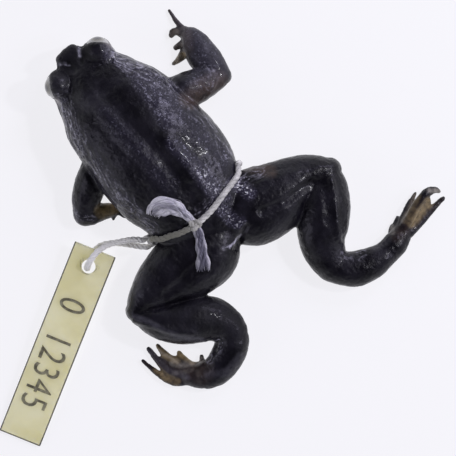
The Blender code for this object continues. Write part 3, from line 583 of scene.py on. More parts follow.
# Trunk sections from the snout to the vent:
# (y, half width on the right, half width on the left, underside z, top z)
TRUNK = (
    (-23.7, 1.8, 1.8, 3.4, 6.2),
    (-22.8, 2.9, 2.9, 2.6, 7.2),
    (-21.6, 4.5, 4.6, 2.1, 8.1),
    (-20.2, 5.9, 6.0, 1.8, 8.8),
    (-18.6, 6.8, 6.9, 1.6, 9.5),
    (-17.0, 7.2, 7.4, 1.4, 10.2),
    (-15.0, 8.4, 8.3, 1.2, 10.9),
    (-13.0, 9.4, 9.2, 1.0, 11.6),
    (-10.5, 10.6, 10.4, 0.6, 12.5),
    (-7.5, 11.4, 10.9, 0.0, 13.3),
    (-4.0, 11.9, 11.4, -0.5, 14.1),
    (0.0, 12.2, 11.9, -0.5, 14.6),
    (4.0, 12.5, 12.0, -0.5, 14.5),
    (8.0, 12.2, 11.8, -0.1, 13.9),
    (11.0, 11.5, 10.9, 1.0, 13.0),
    (14.0, 10.2, 10.3, 2.0, 12.0),
    (17.0, 9.2, 9.2, 2.0, 11.0),
    (20.0, 7.4, 7.4, 1.4, 9.8),
    (22.5, 5.0, 5.0, 1.6, 8.4),
    (24.0, 2.6, 2.6, 2.8, 6.8),
)
# Limb stations: (x, y, z, half width, half height)
LIMBS = {
    "thigh_right": (
        (-2.5, 19.6, 5.0, 5.2, 4.4),
        (-6.5, 21.3, 4.9, 7.2, 5.1),
        (-11.3, 22.6, 4.6, 7.0, 5.0),
        (-15.0, 22.9, 4.3, 5.6, 4.6),
        (-18.2, 23.4, 3.9, 4.3, 4.2),
        (-21.2, 24.7, 3.6, 3.2, 3.8),
        (-22.8, 25.6, 3.4, 2.3, 3.4),
    ),
    "shank_right": (
        (-22.3, 25.8, 3.4, 2.6, 3.4),
        (-20.6, 27.6, 3.6, 4.0, 3.8),
        (-18.0, 29.9, 3.9, 4.9, 4.2),
        (-15.4, 32.2, 3.9, 5.0, 4.2),
        (-13.0, 34.8, 3.5, 4.4, 3.8),
        (-11.8, 37.6, 3.0, 3.8, 3.3),
        (-11.4, 39.8, 2.7, 3.2, 3.0),
    ),
    "tarsus_right": (
        (-11.6, 40.2, 2.7, 3.1, 2.9),
        (-14.2, 42.9, 2.6, 3.4, 2.8),
        (-17.6, 44.2, 2.4, 3.0, 2.6),
        (-20.8, 44.5, 2.1, 2.4, 2.3),
        (-23.4, 44.3, 2.0, 2.4, 2.0),
        (-25.4, 43.7, 1.9, 1.8, 1.5),
    ),
    "thigh_left": (
        (0.5, 20.0, 5.0, 5.2, 4.4),
        (4.5, 21.3, 4.9, 7.1, 5.1),
        (8.5, 21.4, 4.6, 6.9, 5.0),
        (12.5, 21.0, 4.3, 6.0, 4.6),
        (16.2, 20.9, 4.0, 4.8, 4.3),
        (19.6, 21.1, 3.6, 3.2, 3.9),
        (22.0, 21.7, 3.4, 2.0, 3.5),
    ),
    "shank_left": (
        (22.2, 23.2, 3.4, 1.7, 3.4),
        (21.0, 24.8, 3.6, 2.8, 3.8),
        (19.2, 26.9, 3.8, 3.7, 4.1),
        (16.8, 28.9, 3.9, 4.3, 4.2),
        (14.2, 30.5, 3.8, 4.5, 4.1),
        (12.2, 32.4, 3.4, 4.2, 3.7),
        (11.1, 34.8, 3.0, 3.6, 3.3),
        (11.0, 36.4, 2.8, 3.1, 3.0),
    ),
    "tarsus_left": (
        (11.1, 35.6, 2.8, 3.1, 3.0),
        (12.2, 38.0, 2.6, 3.2, 2.8),
        (14.7, 39.4, 2.4, 3.2, 2.6),
        (18.0, 40.1, 2.1, 2.9, 2.3),
        (20.7, 39.1, 1.7, 2.5, 1.8),
        (22.6, 37.6, 1.4, 1.8, 1.4),
    ),
    "upper_arm_right": (
        (-8.5, -4.2, 5.0, 3.4, 3.4),
        (-12.2, -3.3, 4.2, 3.5, 3.3),
        (-15.5, -2.2, 3.4, 3.1, 3.0),
        (-18.6, -1.4, 2.4, 2.4, 2.6),
    ),
    "forearm_right": (
        (-19.3, -1.0, 2.3, 1.9, 2.3),
        (-19.3, -4.0, 2.5, 2.7, 2.7),
        (-19.1, -6.4, 2.4, 3.1, 2.6),
        (-19.5, -8.6, 2.1, 2.7, 2.3),
        (-19.7, -10.5, 1.6, 2.0, 1.8),
        (-19.5, -11.8, 1.2, 1.1, 1.2),
    ),
    "upper_arm_left": (
        (8.6, -3.6, 4.6, 3.2, 3.2),
        (12.3, -2.0, 3.6, 3.1, 3.1),
        (15.0, -0.4, 2.8, 2.8, 2.8),
        (17.3, 1.8, 2.1, 2.3, 2.2),
    ),
    "forearm_left": (
        (16.6, 2.6, 1.9, 1.9, 1.9),
        (14.6, 3.4, 1.5, 1.7, 1.6),
        (12.9, 4.4, 0.9, 1.4, 0.9),
        (11.9, 5.1, 0.6, 1.1, 0.7),
    ),
}
# Digits, each from its root to its tip: (x, y, z, radius)
FINGERS_R = (
    (
        (-19.6, -11.0, 1.3, 0.85),
        (-19.6, -13.2, 1.0, 0.56),
        (-19.7, -15.0, 0.7, 0.42),
        (-20.0, -16.9, 0.5, 0.33),
    ),
    (
        (-19.2, -10.8, 1.2, 0.9),
        (-18.6, -12.6, 1.0, 0.8),
        (-17.9, -13.3, 0.8, 0.7),
        (-17.2, -13.0, 0.7, 0.6),
    ),
    ((-18.6, -10.0, 1.2, 0.9), (-17.4, -10.6, 0.9, 0.7), (-16.3, -10.7, 0.6, 0.55)),
    (
        (-18.0, -9.2, 1.3, 1.0),
        (-16.2, -8.75, 1.0, 0.85),
        (-14.9, -8.65, 0.7, 0.6),
        (-14.0, -8.75, 0.5, 0.4),
    ),
)
FINGERS_L = (
    ((12.5, 4.9, 0.6, 0.65), (13.2, 5.4, 0.5, 0.5), (13.9, 5.8, 0.35, 0.4)),
    ((12.1, 5.3, 0.6, 0.65), (11.9, 6.5, 0.5, 0.55), (11.4, 7.5, 0.35, 0.4)),
    ((11.7, 5.4, 0.6, 0.6), (11.0, 6.5, 0.5, 0.5), (10.4, 7.3, 0.35, 0.4)),
    ((11.3, 5.2, 0.5, 0.55), (10.3, 5.8, 0.45, 0.45), (9.5, 6.2, 0.35, 0.4)),
)
TOES_R = (
    ((-23.6, 42.8, 1.2, 0.8), (-24.2, 42.0, 0.9, 0.6), (-24.8, 41.4, 0.6, 0.4)),
    ((-24.3, 42.8, 1.3, 0.9), (-25.6, 41.7, 1.0, 0.7), (-26.7, 40.9, 0.7, 0.4)),
    ((-25.2, 43.0, 1.7, 1.0), (-27.9, 41.5, 1.6, 0.8), (-30.3, 40.4, 1.3, 0.65), (-32.2, 39.7, 0.9, 0.4)),
    (
        (-25.6, 43.4, 2.2, 1.1),
        (-28.6, 42.3, 2.9, 1.05),
        (-31.4, 41.4, 3.3, 0.95),
        (-33.6, 41.0, 3.3, 0.9),
        (-35.1, 41.4, 2.8, 0.7),
        (-35.7, 42.3, 2.3, 0.42),
    ),
    ((-25.6, 44.4, 1.8, 1.1), (-29.0, 44.4, 1.4, 0.9), (-32.5, 44.0, 1.1, 0.68), (-35.6, 43.9, 0.8, 0.42)),
)
TOES_L = (
    ((19.8, 38.4, 1.2, 0.9), (19.0, 37.2, 1.0, 0.6), (18.4, 36.3, 0.8, 0.42)),
    ((21.0, 37.4, 1.2, 1.0), (21.3, 35.0, 1.0, 0.8), (21.2, 33.0, 0.8, 0.5)),
    ((22.2, 37.0, 1.2, 1.0), (23.0, 34.2, 1.2, 0.85), (23.3, 31.4, 1.3, 0.7), (23.3, 29.3, 1.1, 0.45)),
    ((23.0, 37.4, 1.2, 1.0), (24.7, 34.6, 1.0, 0.9), (25.1, 31.6, 0.8, 0.7), (25.0, 28.6, 0.6, 0.42)),
    ((22.9, 38.3, 1.1, 1.0), (25.6, 36.4, 0.9, 0.8), (26.7, 33.4, 0.8, 0.6), (27.3, 29.6, 0.6, 0.4)),
)
WEB_THICKNESS = 0.7
WEB_REACH_R = (0.55, 0.55, 0.5, 0.68)
WEB_REACH_L = (0.5, 0.7, 0.7, 0.6)
# Head bulges over the eyes and the snout lobe: (x, y, z, radius x, radius y, radius z)
HEAD_BULGES = (
    (-4.9, -19.6, 7.5, 2.9, 2.9, 3.0),
    (5.1, -19.45, 7.5, 2.9, 2.9, 3.0),
    (-4.3, -18.2, 6.9, 3.1, 3.1, 2.7),
    (4.4, -18.0, 6.9, 3.1, 3.1, 2.7),
    (-1.0, -22.0, 5.9, 1.8, 2.0, 2.7),
    (0.0, -22.1, 6.0, 1.9, 2.0, 2.8),
    (1.0, -22.0, 5.9, 1.8, 2.0, 2.7),
    (-3.3, -21.2, 5.7, 1.2, 1.2, 2.1),
)
# Middle of each eye's bulge and the way the eye looks
EYES = {
    "eye_right": ((-4.9, -19.6, 7.5), (-0.65, -0.76, 0.52)),
    "eye_left": ((5.1, -19.45, 7.5), (0.87, -0.49, 0.52)),
}
EYE_RADIUS = 2.45
EYE_SHIFT = 0.05
WINDOW_WIDE = 52.0
WINDOW_TALL = 24.0
UPPER_LID_EDGE = 2.62
LOWER_LID_EDGE = 2.44
UPPER_TAPER = 24.0
LOWER_TAPER = 62.0
SOCKET_REACH = 3.8
MEMBRANE_ANGLE = 85.0
MEMBRANE_REACH = 3.6
MOUTH_LEVEL = 4.0
MOUTH_CORNER_Y = -13.5
NOSTRILS = ((-1.35, -22.9), (1.35, -22.9))


def bridge_rings(bm, rings):
    """Joins rings of vertices into a closed skin with flat ends."""
    edge_rings = [edges_of(ring) for ring in rings]
    for near, far in zip(edge_rings, edge_rings[1:]):
        bmesh.ops.bridge_loops(bm, edges=near + far)
    bmesh.ops.contextual_create(bm, geom=edge_rings[0])
    bmesh.ops.contextual_create(bm, geom=edge_rings[-1])


def loft_limb(whole, stations, sides, steps):
    """A limb of oval sections along a smooth path, with a rounded end at each side."""
    bm = bmesh.new()
    rows = spline(stations, steps)
    centres = [Vector(row[:3]) for row in rows]
    last = len(rows) - 1
    domes = [(sin(radians(a)), cos(radians(a))) for a in DOME_ANGLES]
    rings = []

    def add_ring(centre, run, half_width, half_height):
        """One oval section across the way the limb runs."""
        side = run.cross(Vector((0, 0, 1))).normalized()
        up = side.cross(run).normalized()
        place = Matrix((side * half_width, up * half_height, side.cross(up))).transposed().to_4x4()
        place.translation = centre
        rings.append(bmesh.ops.create_circle(bm, segments=sides, radius=1.0, matrix=place)["verts"])

    for index, row in enumerate(rows):
        run = (centres[min(index + 1, last)] - centres[max(index - 1, 0)]).normalized()
        wide, high = row[3], row[-1]
        reach = min(wide, high)
        if index == 0:
            for along, size in reversed(domes):
                add_ring(centres[0] - run * reach * along, run, wide * size, high * size)
        add_ring(centres[index], run, wide, high)
        if index == last:
            for along, size in domes:
                add_ring(centres[last] + run * reach * along, run, wide * size, high * size)
    bridge_rings(bm, rings)
    pour_into(whole, bm)


def loft_trunk(whole):
    """Head and body in one: oval sections across Y, flatter below than above."""
    bm = bmesh.new()
    rings = []
    for y, right, left, low, high in spline(TRUNK, 6):
        middle = low + WIDEST_LEVEL * (high - low)
        upright = Matrix.Rotation(pi / 2, 4, "X")
        ring = bmesh.ops.create_circle(bm, segments=TRUNK_SIDES, radius=1.0, matrix=upright)["verts"]
        for vert in ring:
            across, up = vert.co.x, vert.co.z
            roundness = BACK_ROUNDNESS if up > 0 else BELLY_ROUNDNESS
            norm = (abs(across) ** roundness + abs(up) ** roundness) ** (1 / roundness)
            half_width = left if across > 0 else right
            depth = (high - middle) if up > 0 else (middle - low)
            vert.co = (across / norm * half_width, y, middle + up / norm * depth)
        rings.append(ring)
    bridge_rings(bm, rings)
    pour_into(whole, bm)


def add_ball(whole, centre, radii):
    """An oval ball, for the bulges of the head."""
    bm = bmesh.new()
    place = Matrix.Translation(centre) @ Matrix.Diagonal((*radii, 1.0))
    bmesh.ops.create_uvsphere(
        bm, u_segments=BALL_SEGMENTS, v_segments=BALL_RINGS, radius=1.0, matrix=place
    )
    pour_into(whole, bm)


def add_web(whole, toe, other, reach):
    """Skin between two toes: a flat grid drawn out from their roots to a share of their length."""
    bm = bmesh.new()
    near = [Vector(row[:3]) for row in spline(toe, 5)]
    far = [Vector(row[:3]) for row in spline(other, 5)]
    grid = bmesh.ops.create_grid(bm, x_segments=1, y_segments=WEB_STEPS, size=0.5)["verts"]
    grid_faces = {face for vert in grid for face in vert.link_faces}
    for vert in grid:
        line = near if vert.co.x < 0 else far
        place = reach * (vert.co.y + 0.5) * (len(line) - 1)
        low = min(int(place), len(line) - 2)
        vert.co = line[low].lerp(line[low + 1], place - low) - Vector((0, 0, WEB_THICKNESS / 2))
    made = bmesh.ops.extrude_face_region(bm, geom=list(grid_faces), use_keep_orig=True)
    bmesh.ops.translate(bm, verts=verts_made(made), vec=(0, 0, WEB_THICKNESS))
    bmesh.ops.recalc_face_normals(bm, faces=bm.faces)
    pour_into(whole, bm)


bm = bmesh.new()
loft_trunk(bm)
for stations in LIMBS.values():
    loft_limb(bm, stations, LIMB_SIDES, steps=6)
for digits in (FINGERS_R, FINGERS_L, TOES_R, TOES_L):
    for digit in digits:
        loft_limb(bm, digit, DIGIT_SIDES, steps=5)
for toes, reaches in ((TOES_R, WEB_REACH_R), (TOES_L, WEB_REACH_L)):
    for toe, other, reach in zip(toes, toes[1:], reaches):
        add_web(bm, toe, other, reach)
for x, y, z, *radii in HEAD_BULGES:
    add_ball(bm, (x, y, z), radii)
bmesh.ops.recalc_face_normals(bm, faces=bm.faces)
mesh = bpy.data.meshes.new("frog_skin")
bm.to_mesh(mesh)
bm.free()
skin = bpy.data.objects.new("frog_skin", mesh)
bpy.context.scene.collection.objects.link(skin)


def apply_modifiers(obj):
    """Puts the result of an object's modifiers in its mesh."""
    mesh = finished_mesh(obj)
    obj.modifiers.clear()
    obj.data = mesh


fuse = skin.modifiers.new("Fuse", "REMESH")
fuse.mode = "VOXEL"
fuse.voxel_size = VOXEL
ease = skin.modifiers.new("Ease", "SMOOTH")
ease.factor = EASE_FACTOR
ease.iterations = EASE_ROUNDS
apply_modifiers(skin)


def read_skin():
    """The skin's vertices and their normals as arrays."""
    mesh = skin.data
    mesh.update()
    places = np.empty(len(mesh.vertices) * 3, dtype=np.float32)
    normals = np.empty(len(mesh.vertices) * 3, dtype=np.float32)
    mesh.vertices.foreach_get("co", places)
    mesh.vertices.foreach_get("normal", normals)
    return places.reshape(-1, 3).astype(float), normals.reshape(-1, 3).astype(float)


def write_skin(places):
    """Puts the vertices back in the skin's mesh."""
    skin.data.vertices.foreach_set("co", places.astype(np.float32).ravel())
    skin.data.update()


def along_path(places, path):
    """For each place, seen from above: distance to a path, the side it is on, and how far along, 0 to 1."""
    path = np.array(path, dtype=float)[:, :2]
    spans = np.linalg.norm(np.diff(path, axis=0), axis=1)
    starts = np.concatenate(([0], np.cumsum(spans)))
    best = np.full(len(places), 1e9)
    side = np.ones(len(places))
    along = np.zeros(len(places))
    for index, span in enumerate(spans):
        run = (path[index + 1] - path[index]) / span
        away = places[:, :2] - path[index]
        t = np.clip(away @ run, 0, span)
        gap = away - t[:, None] * run
        distance = np.linalg.norm(gap, axis=1)
        nearer = distance < best
        best[nearer] = distance[nearer]
        side[nearer] = np.sign(run[0] * gap[nearer, 1] - run[1] * gap[nearer, 0])
        along[nearer] = (starts[index] + t[nearer]) / starts[-1]
    return best, side, along


def fall_off(share):
    """1 at the middle, 0 at the rim, level at both."""
    return np.where(share < 1, (1 - np.minimum(share, 1) ** 2) ** 2, 0.0)


def noise_at(places, scale, seed=0.0):
    """Smooth noise from -1 to 1 at each place, with features of about the given size."""
    shift = Vector((seed, seed * 1.7, seed * 0.6))
    return np.array([noise.noise(Vector(place) / scale + shift) for place in places])


# Swellings and furrows, seen from above: (points, half width, height)
FORMS = (
    # spine, furrow beside it, the two hip bones
    (((2.4, -16.0), (2.0, -9.7), (1.8, -4.5), (1.4, 3.0)), 2.5, 0.34),
    (((-0.6, -12.5), (-0.5, -4.6), (-0.4, 3.0)), 2.4, -0.34),
    (((-3.6, 1.8), (-3.5, 5.1), (-3.3, 9.8), (-2.6, 14.2)), 2.4, 0.42),
    (((3.6, 5.0), (3.5, 10.0), (3.2, 14.0)), 2.1, 0.22),
    (((-5.9, 4.5), (-6.2, 9.0), (-6.0, 13.6)), 2.0, -0.20),
    (((-0.6, 5.0), (-0.2, 9.0), (0.2, 13.5)), 1.9, -0.22),
    # grooves beside the snout lobe and the creases behind the lids
    (((-3.2, -23.4), (-2.35, -22.0), (-1.55, -20.9), (-1.0, -19.9)), 0.7, -0.32),
    (((3.2, -23.2), (2.1, -22.2), (1.3, -21.2), (1.0, -19.8)), 1.0, -0.35),
    (((-6.6, -19.0), (-6.3, -17.2), (-4.4, -16.2), (-2.2, -16.8)), 1.5, -0.15),
    (((6.7, -18.9), (6.2, -16.9), (4.3, -16.0), (2.2, -17.0)), 1.5, -0.15),
    # thigh muscles
    (((-8.2, 23.2), (-12.7, 24.6), (-16.2, 24.9), (-18.9, 25.3)), 1.3, -0.5),
    (((-9.5, 17.4), (-13.5, 18.0), (-17.5, 20.2), (-21.0, 22.6)), 1.5, -0.18),
    (((4.0, 22.6), (8.6, 22.9), (12.5, 23.2), (15.5, 23.0)), 1.3, -0.3),
    # the sharp line along each shank and the calf beside it
    (((-21.7, 27.2), (-20.4, 29.8), (-17.6, 33.6), (-15.4, 36.7)), 0.9, 0.3),
    (((23.2, 22.8), (21.1, 26.0), (19.6, 28.6), (16.5, 32.0)), 0.9, 0.3),
    (((-20.0, 27.0), (-18.4, 29.6), (-16.0, 33.0)), 1.2, -0.2),
    (((21.0, 24.2), (19.0, 27.0), (16.4, 29.6)), 1.2, -0.2),
    # the fold between the thighs
    (((0.1, 25.4), (-2.1, 24.1), (-4.0, 23.4)), 0.9, -0.5),
    # folds where the arms leave the body
    (((-9.5, -17.0), (-10.8, -12.5), (-11.6, -8.5)), 1.2, -0.25),
    (((9.6, -14.5), (10.4, -11.0), (10.8, -7.5)), 1.2, -0.25),
    (((-11.6, -6.6), (-11.9, -4.0), (-11.5, -1.2)), 1.0, -0.35),
    (((11.2, -5.6), (11.6, -3.0), (12.2, -0.4)), 1.0, -0.35),
)
# Wrinkled places: (middle line, half width, width of a wrinkle, its length, height)
WRINKLES = (
    (((-6.0, -16.6), (-7.2, -13.6), (-8.9, -10.4), (-10.2, -6.0)), 2.4, 0.60, 3.4, 0.20),
    (((6.4, -16.9), (7.4, -14.2), (9.0, -11.2), (10.2, -8.0)), 2.4, 0.60, 3.4, 0.20),
    (((8.4, -8.8), (9.2, -5.0), (9.9, -1.0), (10.4, 4.0)), 2.6, 0.75, 3.8, 0.11),
    (((-10.6, -6.5), (-11.0, -2.0), (-11.0, 5.0), (-10.0, 11.0)), 1.9, 0.8, 3.4, 0.08),
    (((9.6, 4.0), (9.8, 8.0), (9.4, 12.0)), 2.2, 0.7, 3.0, 0.10),
    (((-7.6, 16.0), (-10.0, 16.8), (-12.5, 17.4)), 2.0, 0.6, 2.2, 0.14),
    (((-14.0, 39.2), (-15.4, 40.4), (-17.2, 41.4)), 1.6, 0.5, 2.2, 0.07),
    (((14.2, 36.4), (15.6, 37.0), (17.6, 37.4)), 1.5, 0.5, 2.2, 0.12),
    (((18.6, 0.0), (18.0, 1.9), (16.4, 3.2)), 1.2, 0.45, 2.2, 0.06),
    (((-16.4, -0.9), (-18.2, -2.6), (-18.0, -4.4)), 1.6, 0.5, 2.0, 0.10),
    (((-2.6, 15.5), (0.0, 16.0), (4.0, 15.4)), 1.8, 0.6, 2.4, 0.12),
)
# Forms fade out where the skin turns to the side, wrinkles further down.
FORM_SLOPE = 0.05
FORM_BLEND = 0.25
WRINKLE_WRAP = 0.5
WRINKLE_SWAY = 0.8
WRINKLE_SWAY_SIZE = 2.2
RIDGE_TOP = 0.55
# Only the sharpest part of a ridge counts as its crest, which gets a painted highlight, and counts in full
# from this height.
CREST_SHARPNESS = 4
CREST_HEIGHT = 0.16
SNOUT_PINCHES = ((-3.1, -23.0), (3.0, -22.9))
PINCH_RADIUS = 1.3
PINCH_DEPTH = 0.7
PINCH_WAY = (0.0, 1.0, -0.3)
PINCH_FLOOR = 2.0
PINCH_BLEND = 2.0
LIP_OFFSET = 0.6
LIP_HALF_WIDTH = 0.55
LIP_HEIGHT = 0.26
MOUTH_HALF_WIDTH = 0.26
MOUTH_DEPTH = 0.42
NOSTRIL_RADIUS = 0.28
NOSTRIL_DEPTH = 0.22
NOSTRIL_RIM = 0.04
NOSTRIL_RIM_AT = 1.4 * NOSTRIL_RADIUS
NOSTRIL_RIM_WIDTH = 0.7 * NOSTRIL_RADIUS
NOSTRIL_FLOOR = 5.5
UNDER_LID = 1.75
LID_SLOPE = 7.0
WAVE_HEIGHT = 0.10
LUMP_HEIGHT = 0.05
GRAIN_HEIGHT = 0.05


def wrinkles_at(places, normals):
    """How far wrinkles like drawn-up cloth raise each place, and how near it is to a crest, which gets a
    painted highlight.
    """
    raised = np.zeros(len(places))
    crest_highlights = np.zeros(len(places))
    for index, (path, half_width, width, length, height) in enumerate(WRINKLES):
        distance, side, along = along_path(places, path)
        near = np.nonzero(distance < half_width)[0]
        run = sum((Vector(b) - Vector(a)).length for a, b in zip(path, path[1:]))
        drawn_out = np.column_stack(
            (distance[near] * side[near] / width, along[near] * run / length, places[near, 2] / (2 * width))
        )
        drawn_out[:, 0] += WRINKLE_SWAY * noise_at(places[near], WRINKLE_SWAY_SIZE, 3.1 + index)
        ridges = RIDGE_TOP - 2 * np.abs(noise_at(drawn_out, 1.0, 7.3 + index))
        facing = np.clip(normals[near, 2] + WRINKLE_WRAP, 0, 1)
        weight = fall_off(distance[near] / half_width) * facing
        raised[near] += height * weight * ridges
        sharp = np.clip(ridges / RIDGE_TOP, 0, 1) ** CREST_SHARPNESS
        crest_highlights[near] = np.maximum(crest_highlights[near], weight * sharp * min(1.0, height / CREST_HEIGHT))
    return raised, crest_highlights


places, normals = read_skin()
for path, half_width, height in FORMS:
    distance = along_path(places, path)[0]
    facing = np.clip((normals[:, 2] - FORM_SLOPE) / FORM_BLEND, 0, 1)
    weight = fall_off(distance / half_width) * facing
    places += normals * (height * weight)[:, None]
places += normals * wrinkles_at(places, normals)[0][:, None]
write_skin(places)

# the pinches between the snout's lobe and the lids, then lips, mouth line and nostrils
places, normals = read_skin()
for x, y in SNOUT_PINCHES:
    distance = np.hypot(places[:, 0] - x, places[:, 1] - y)
    share = np.clip((places[:, 2] - PINCH_FLOOR) / PINCH_BLEND, 0, 1)
    share *= fall_off(distance / PINCH_RADIUS)
    places += np.array(PINCH_WAY) * (PINCH_DEPTH * share)[:, None]
fade = np.clip((MOUTH_CORNER_Y - places[:, 1]) / 2, 0, 1)
above = np.abs(places[:, 2] - MOUTH_LEVEL)
lips = fade * fall_off(np.abs(above - LIP_OFFSET) / LIP_HALF_WIDTH)
mouth = np.clip(fade * 3, 0, 1) * fall_off(above / MOUTH_HALF_WIDTH)
places += normals * (LIP_HEIGHT * lips - MOUTH_DEPTH * mouth)[:, None]
for x, y in NOSTRILS:
    distance = np.hypot(places[:, 0] - x, places[:, 1] - y)
    upper = places[:, 2] > NOSTRIL_FLOOR
    pit = fall_off(distance / NOSTRIL_RADIUS) * upper
    rim = fall_off(np.abs(distance - NOSTRIL_RIM_AT) / NOSTRIL_RIM_WIDTH) * upper
    places += normals * (NOSTRIL_RIM * rim - NOSTRIL_DEPTH * pit)[:, None]


def seen_from_eye(places, middle, look):
    """From an eye's middle to each place: the offset, its length, its way, and its turn from the look."""
    out = places - np.array(middle)
    reach = np.maximum(np.linalg.norm(out, axis=1), 1e-6)
    aim = out / reach[:, None]
    turn = np.degrees(np.arccos(np.clip(aim @ np.array(Vector(look).normalized()), -1, 1)))
    return out, reach, aim, turn


def eased(share):
    """0 to 1, level at both ends."""
    share = np.clip(share, 0, 1)
    return share * share * (3 - 2 * share)


# the lids thin out towards their rims, the lower one over a longer slope, and inside them the
# skin dips under the eyeball
for middle, look in EYES.values():
    out, reach, aim, turn = seen_from_eye(places, middle, look)
    ahead = Vector(look).normalized()
    level = Vector((0, 0, 1)).cross(ahead).normalized()
    around = np.arctan2(aim @ np.array(ahead.cross(level)), aim @ np.array(level))
    window = 1 / np.sqrt((np.cos(around) / WINDOW_WIDE) ** 2 + (np.sin(around) / WINDOW_TALL) ** 2)
    beyond = turn - window
    close = reach < SOCKET_REACH
    below = np.clip(0.7 - aim[:, 2] * 2.0, 0, 1)
    lid = eased(1 - beyond / (UPPER_TAPER + (LOWER_TAPER - UPPER_TAPER) * below)) * close
    above = np.clip(aim[:, 2] * 2.5 + 0.1, 0, 1)
    edge = LOWER_LID_EDGE + (UPPER_LID_EDGE - LOWER_LID_EDGE) * above
    wanted = reach + (edge - reach) * lid
    wanted += (UNDER_LID - wanted) * eased((LID_SLOPE - beyond) / LID_SLOPE) * close
    places = np.array(middle) + out * (wanted / reach)[:, None]
write_skin(places)


def lid_membrane(places):
    """1 on the thin grey skin under and behind each eye's opening, 0 away from it."""
    value = np.zeros(len(places))
    for middle, look in EYES.values():
        out, reach, aim, turn = seen_from_eye(places, middle, look)
        lower = np.clip(1.1 - aim[:, 2] * 2.0, 0, 1)
        value = np.maximum(value, fall_off(turn / MEMBRANE_ANGLE) * lower * (reach < MEMBRANE_REACH))
    return value


# uneven flesh: slow waves, then small grains
places, normals = read_skin()
grain = WAVE_HEIGHT * noise_at(places, 2.6, 5.0) + LUMP_HEIGHT * noise_at(places, 1.1, 9.0)
grain += GRAIN_HEIGHT * (0.5 - 2 * np.abs(noise_at(places, 0.8, 2.0)))
places += normals * grain[:, None]
places[:, 2] = np.maximum(places[:, 2], 0.0)
write_skin(places)

thin = skin.modifiers.new("Thin out", "DECIMATE")
thin.use_collapse_triangulate = True
thin.ratio = min(1.0, SKIN_TRIANGLES / (2 * len(skin.data.polygons)))
apply_modifiers(skin)

# Tints that follow the body, in strokes: (path seen from above, radius, strength)
PALE_AND_HIGHLIGHT_MARKS = (
    (((23.9, 28.9), (23.6, 30.8), (22.6, 33.4), (21.9, 35.3)), 0.40, 0.4),
    (((23.2, 33.6), (22.2, 35.0), (20.3, 36.1), (18.8, 36.6)), 0.9, 0.42),
    (((24.4, 35.2), (22.9, 36.2), (21.4, 36.9)), 0.6, 0.14),
    (((20.8, 38.0), (21.6, 39.4)), 0.7, 0.08),
    # a painted highlight on the tip of the right foot's longest toe
    (((-34.4, 41.0), (-35.3, 41.8), (-35.6, 42.4)), 0.6, 0.6),
    (((-26.7, 42.0), (-29.4, 40.8), (-32.2, 39.9)), 0.45, 0.2),
    (((-24.0, 42.4), (-24.8, 41.4)), 0.5, 0.35),
    (((-14.2, -8.9), (-15.6, -8.8)), 0.8, 0.7),
    (((-18.2, -12.8), (-17.2, -12.9)), 0.8, 0.30),
    (((-17.2, -10.6), (-16.0, -10.8)), 0.7, 0.30),
    (((-6.7, -20.9), (-7.4, -19.6), (-7.5, -18.4)), 0.9, 0.28),
    (((7.6, -19.6), (7.7, -18.4), (7.2, -17.3)), 0.8, 0.28),
)
GOLD_MARKS = (
    (((14.4, 3.4), (13.0, 3.9), (11.3, 4.3)), 1.7, 1.0),
    (((23.7, 29.2), (23.5, 31.2), (22.4, 33.9)), 0.9, 0.8),
    (((21.3, 32.8), (20.7, 34.2), (20.2, 35.7)), 1.0, 0.9),
    (((26.4, 32.8), (26.0, 35.2), (25.1, 36.8)), 1.0, 0.6),
    (((-28.0, 43.5), (-30.3, 43.0), (-33.0, 42.6)), 1.2, 0.7),
    (((-27.4, 42.2), (-30.0, 41.2), (-32.0, 40.2)), 0.9, 0.35),
    (((-14.6, -8.9), (-16.2, -8.7)), 0.9, 0.8),
)
WARM_MARKS = (
    (((-11.8, -1.4), (-14.6, -1.6), (-18.0, -0.9)), 2.4, 0.85),
    (((-19.6, -11.0), (-19.9, -16.8)), 1.3, 0.6),
    (((-19.2, -10.8), (-17.9, -13.3), (-17.0, -13.0)), 1.2, 0.7),
    (((-18.0, -10.4), (-16.2, -10.7)), 1.0, 0.6),
    (((-19.0, -10.4), (-17.6, -9.0), (-16.4, -8.6)), 1.6, 0.5),
    (((-24.6, 43.2), (-30.0, 43.0), (-34.5, 43.0)), 2.0, 0.35),
    (((20.5, 38.0), (23.5, 34.5), (25.5, 31.5)), 3.4, 0.45),
    (((-11.8, 15.2), (-13.3, 17.0), (-14.2, 18.6)), 1.6, 0.7),
)
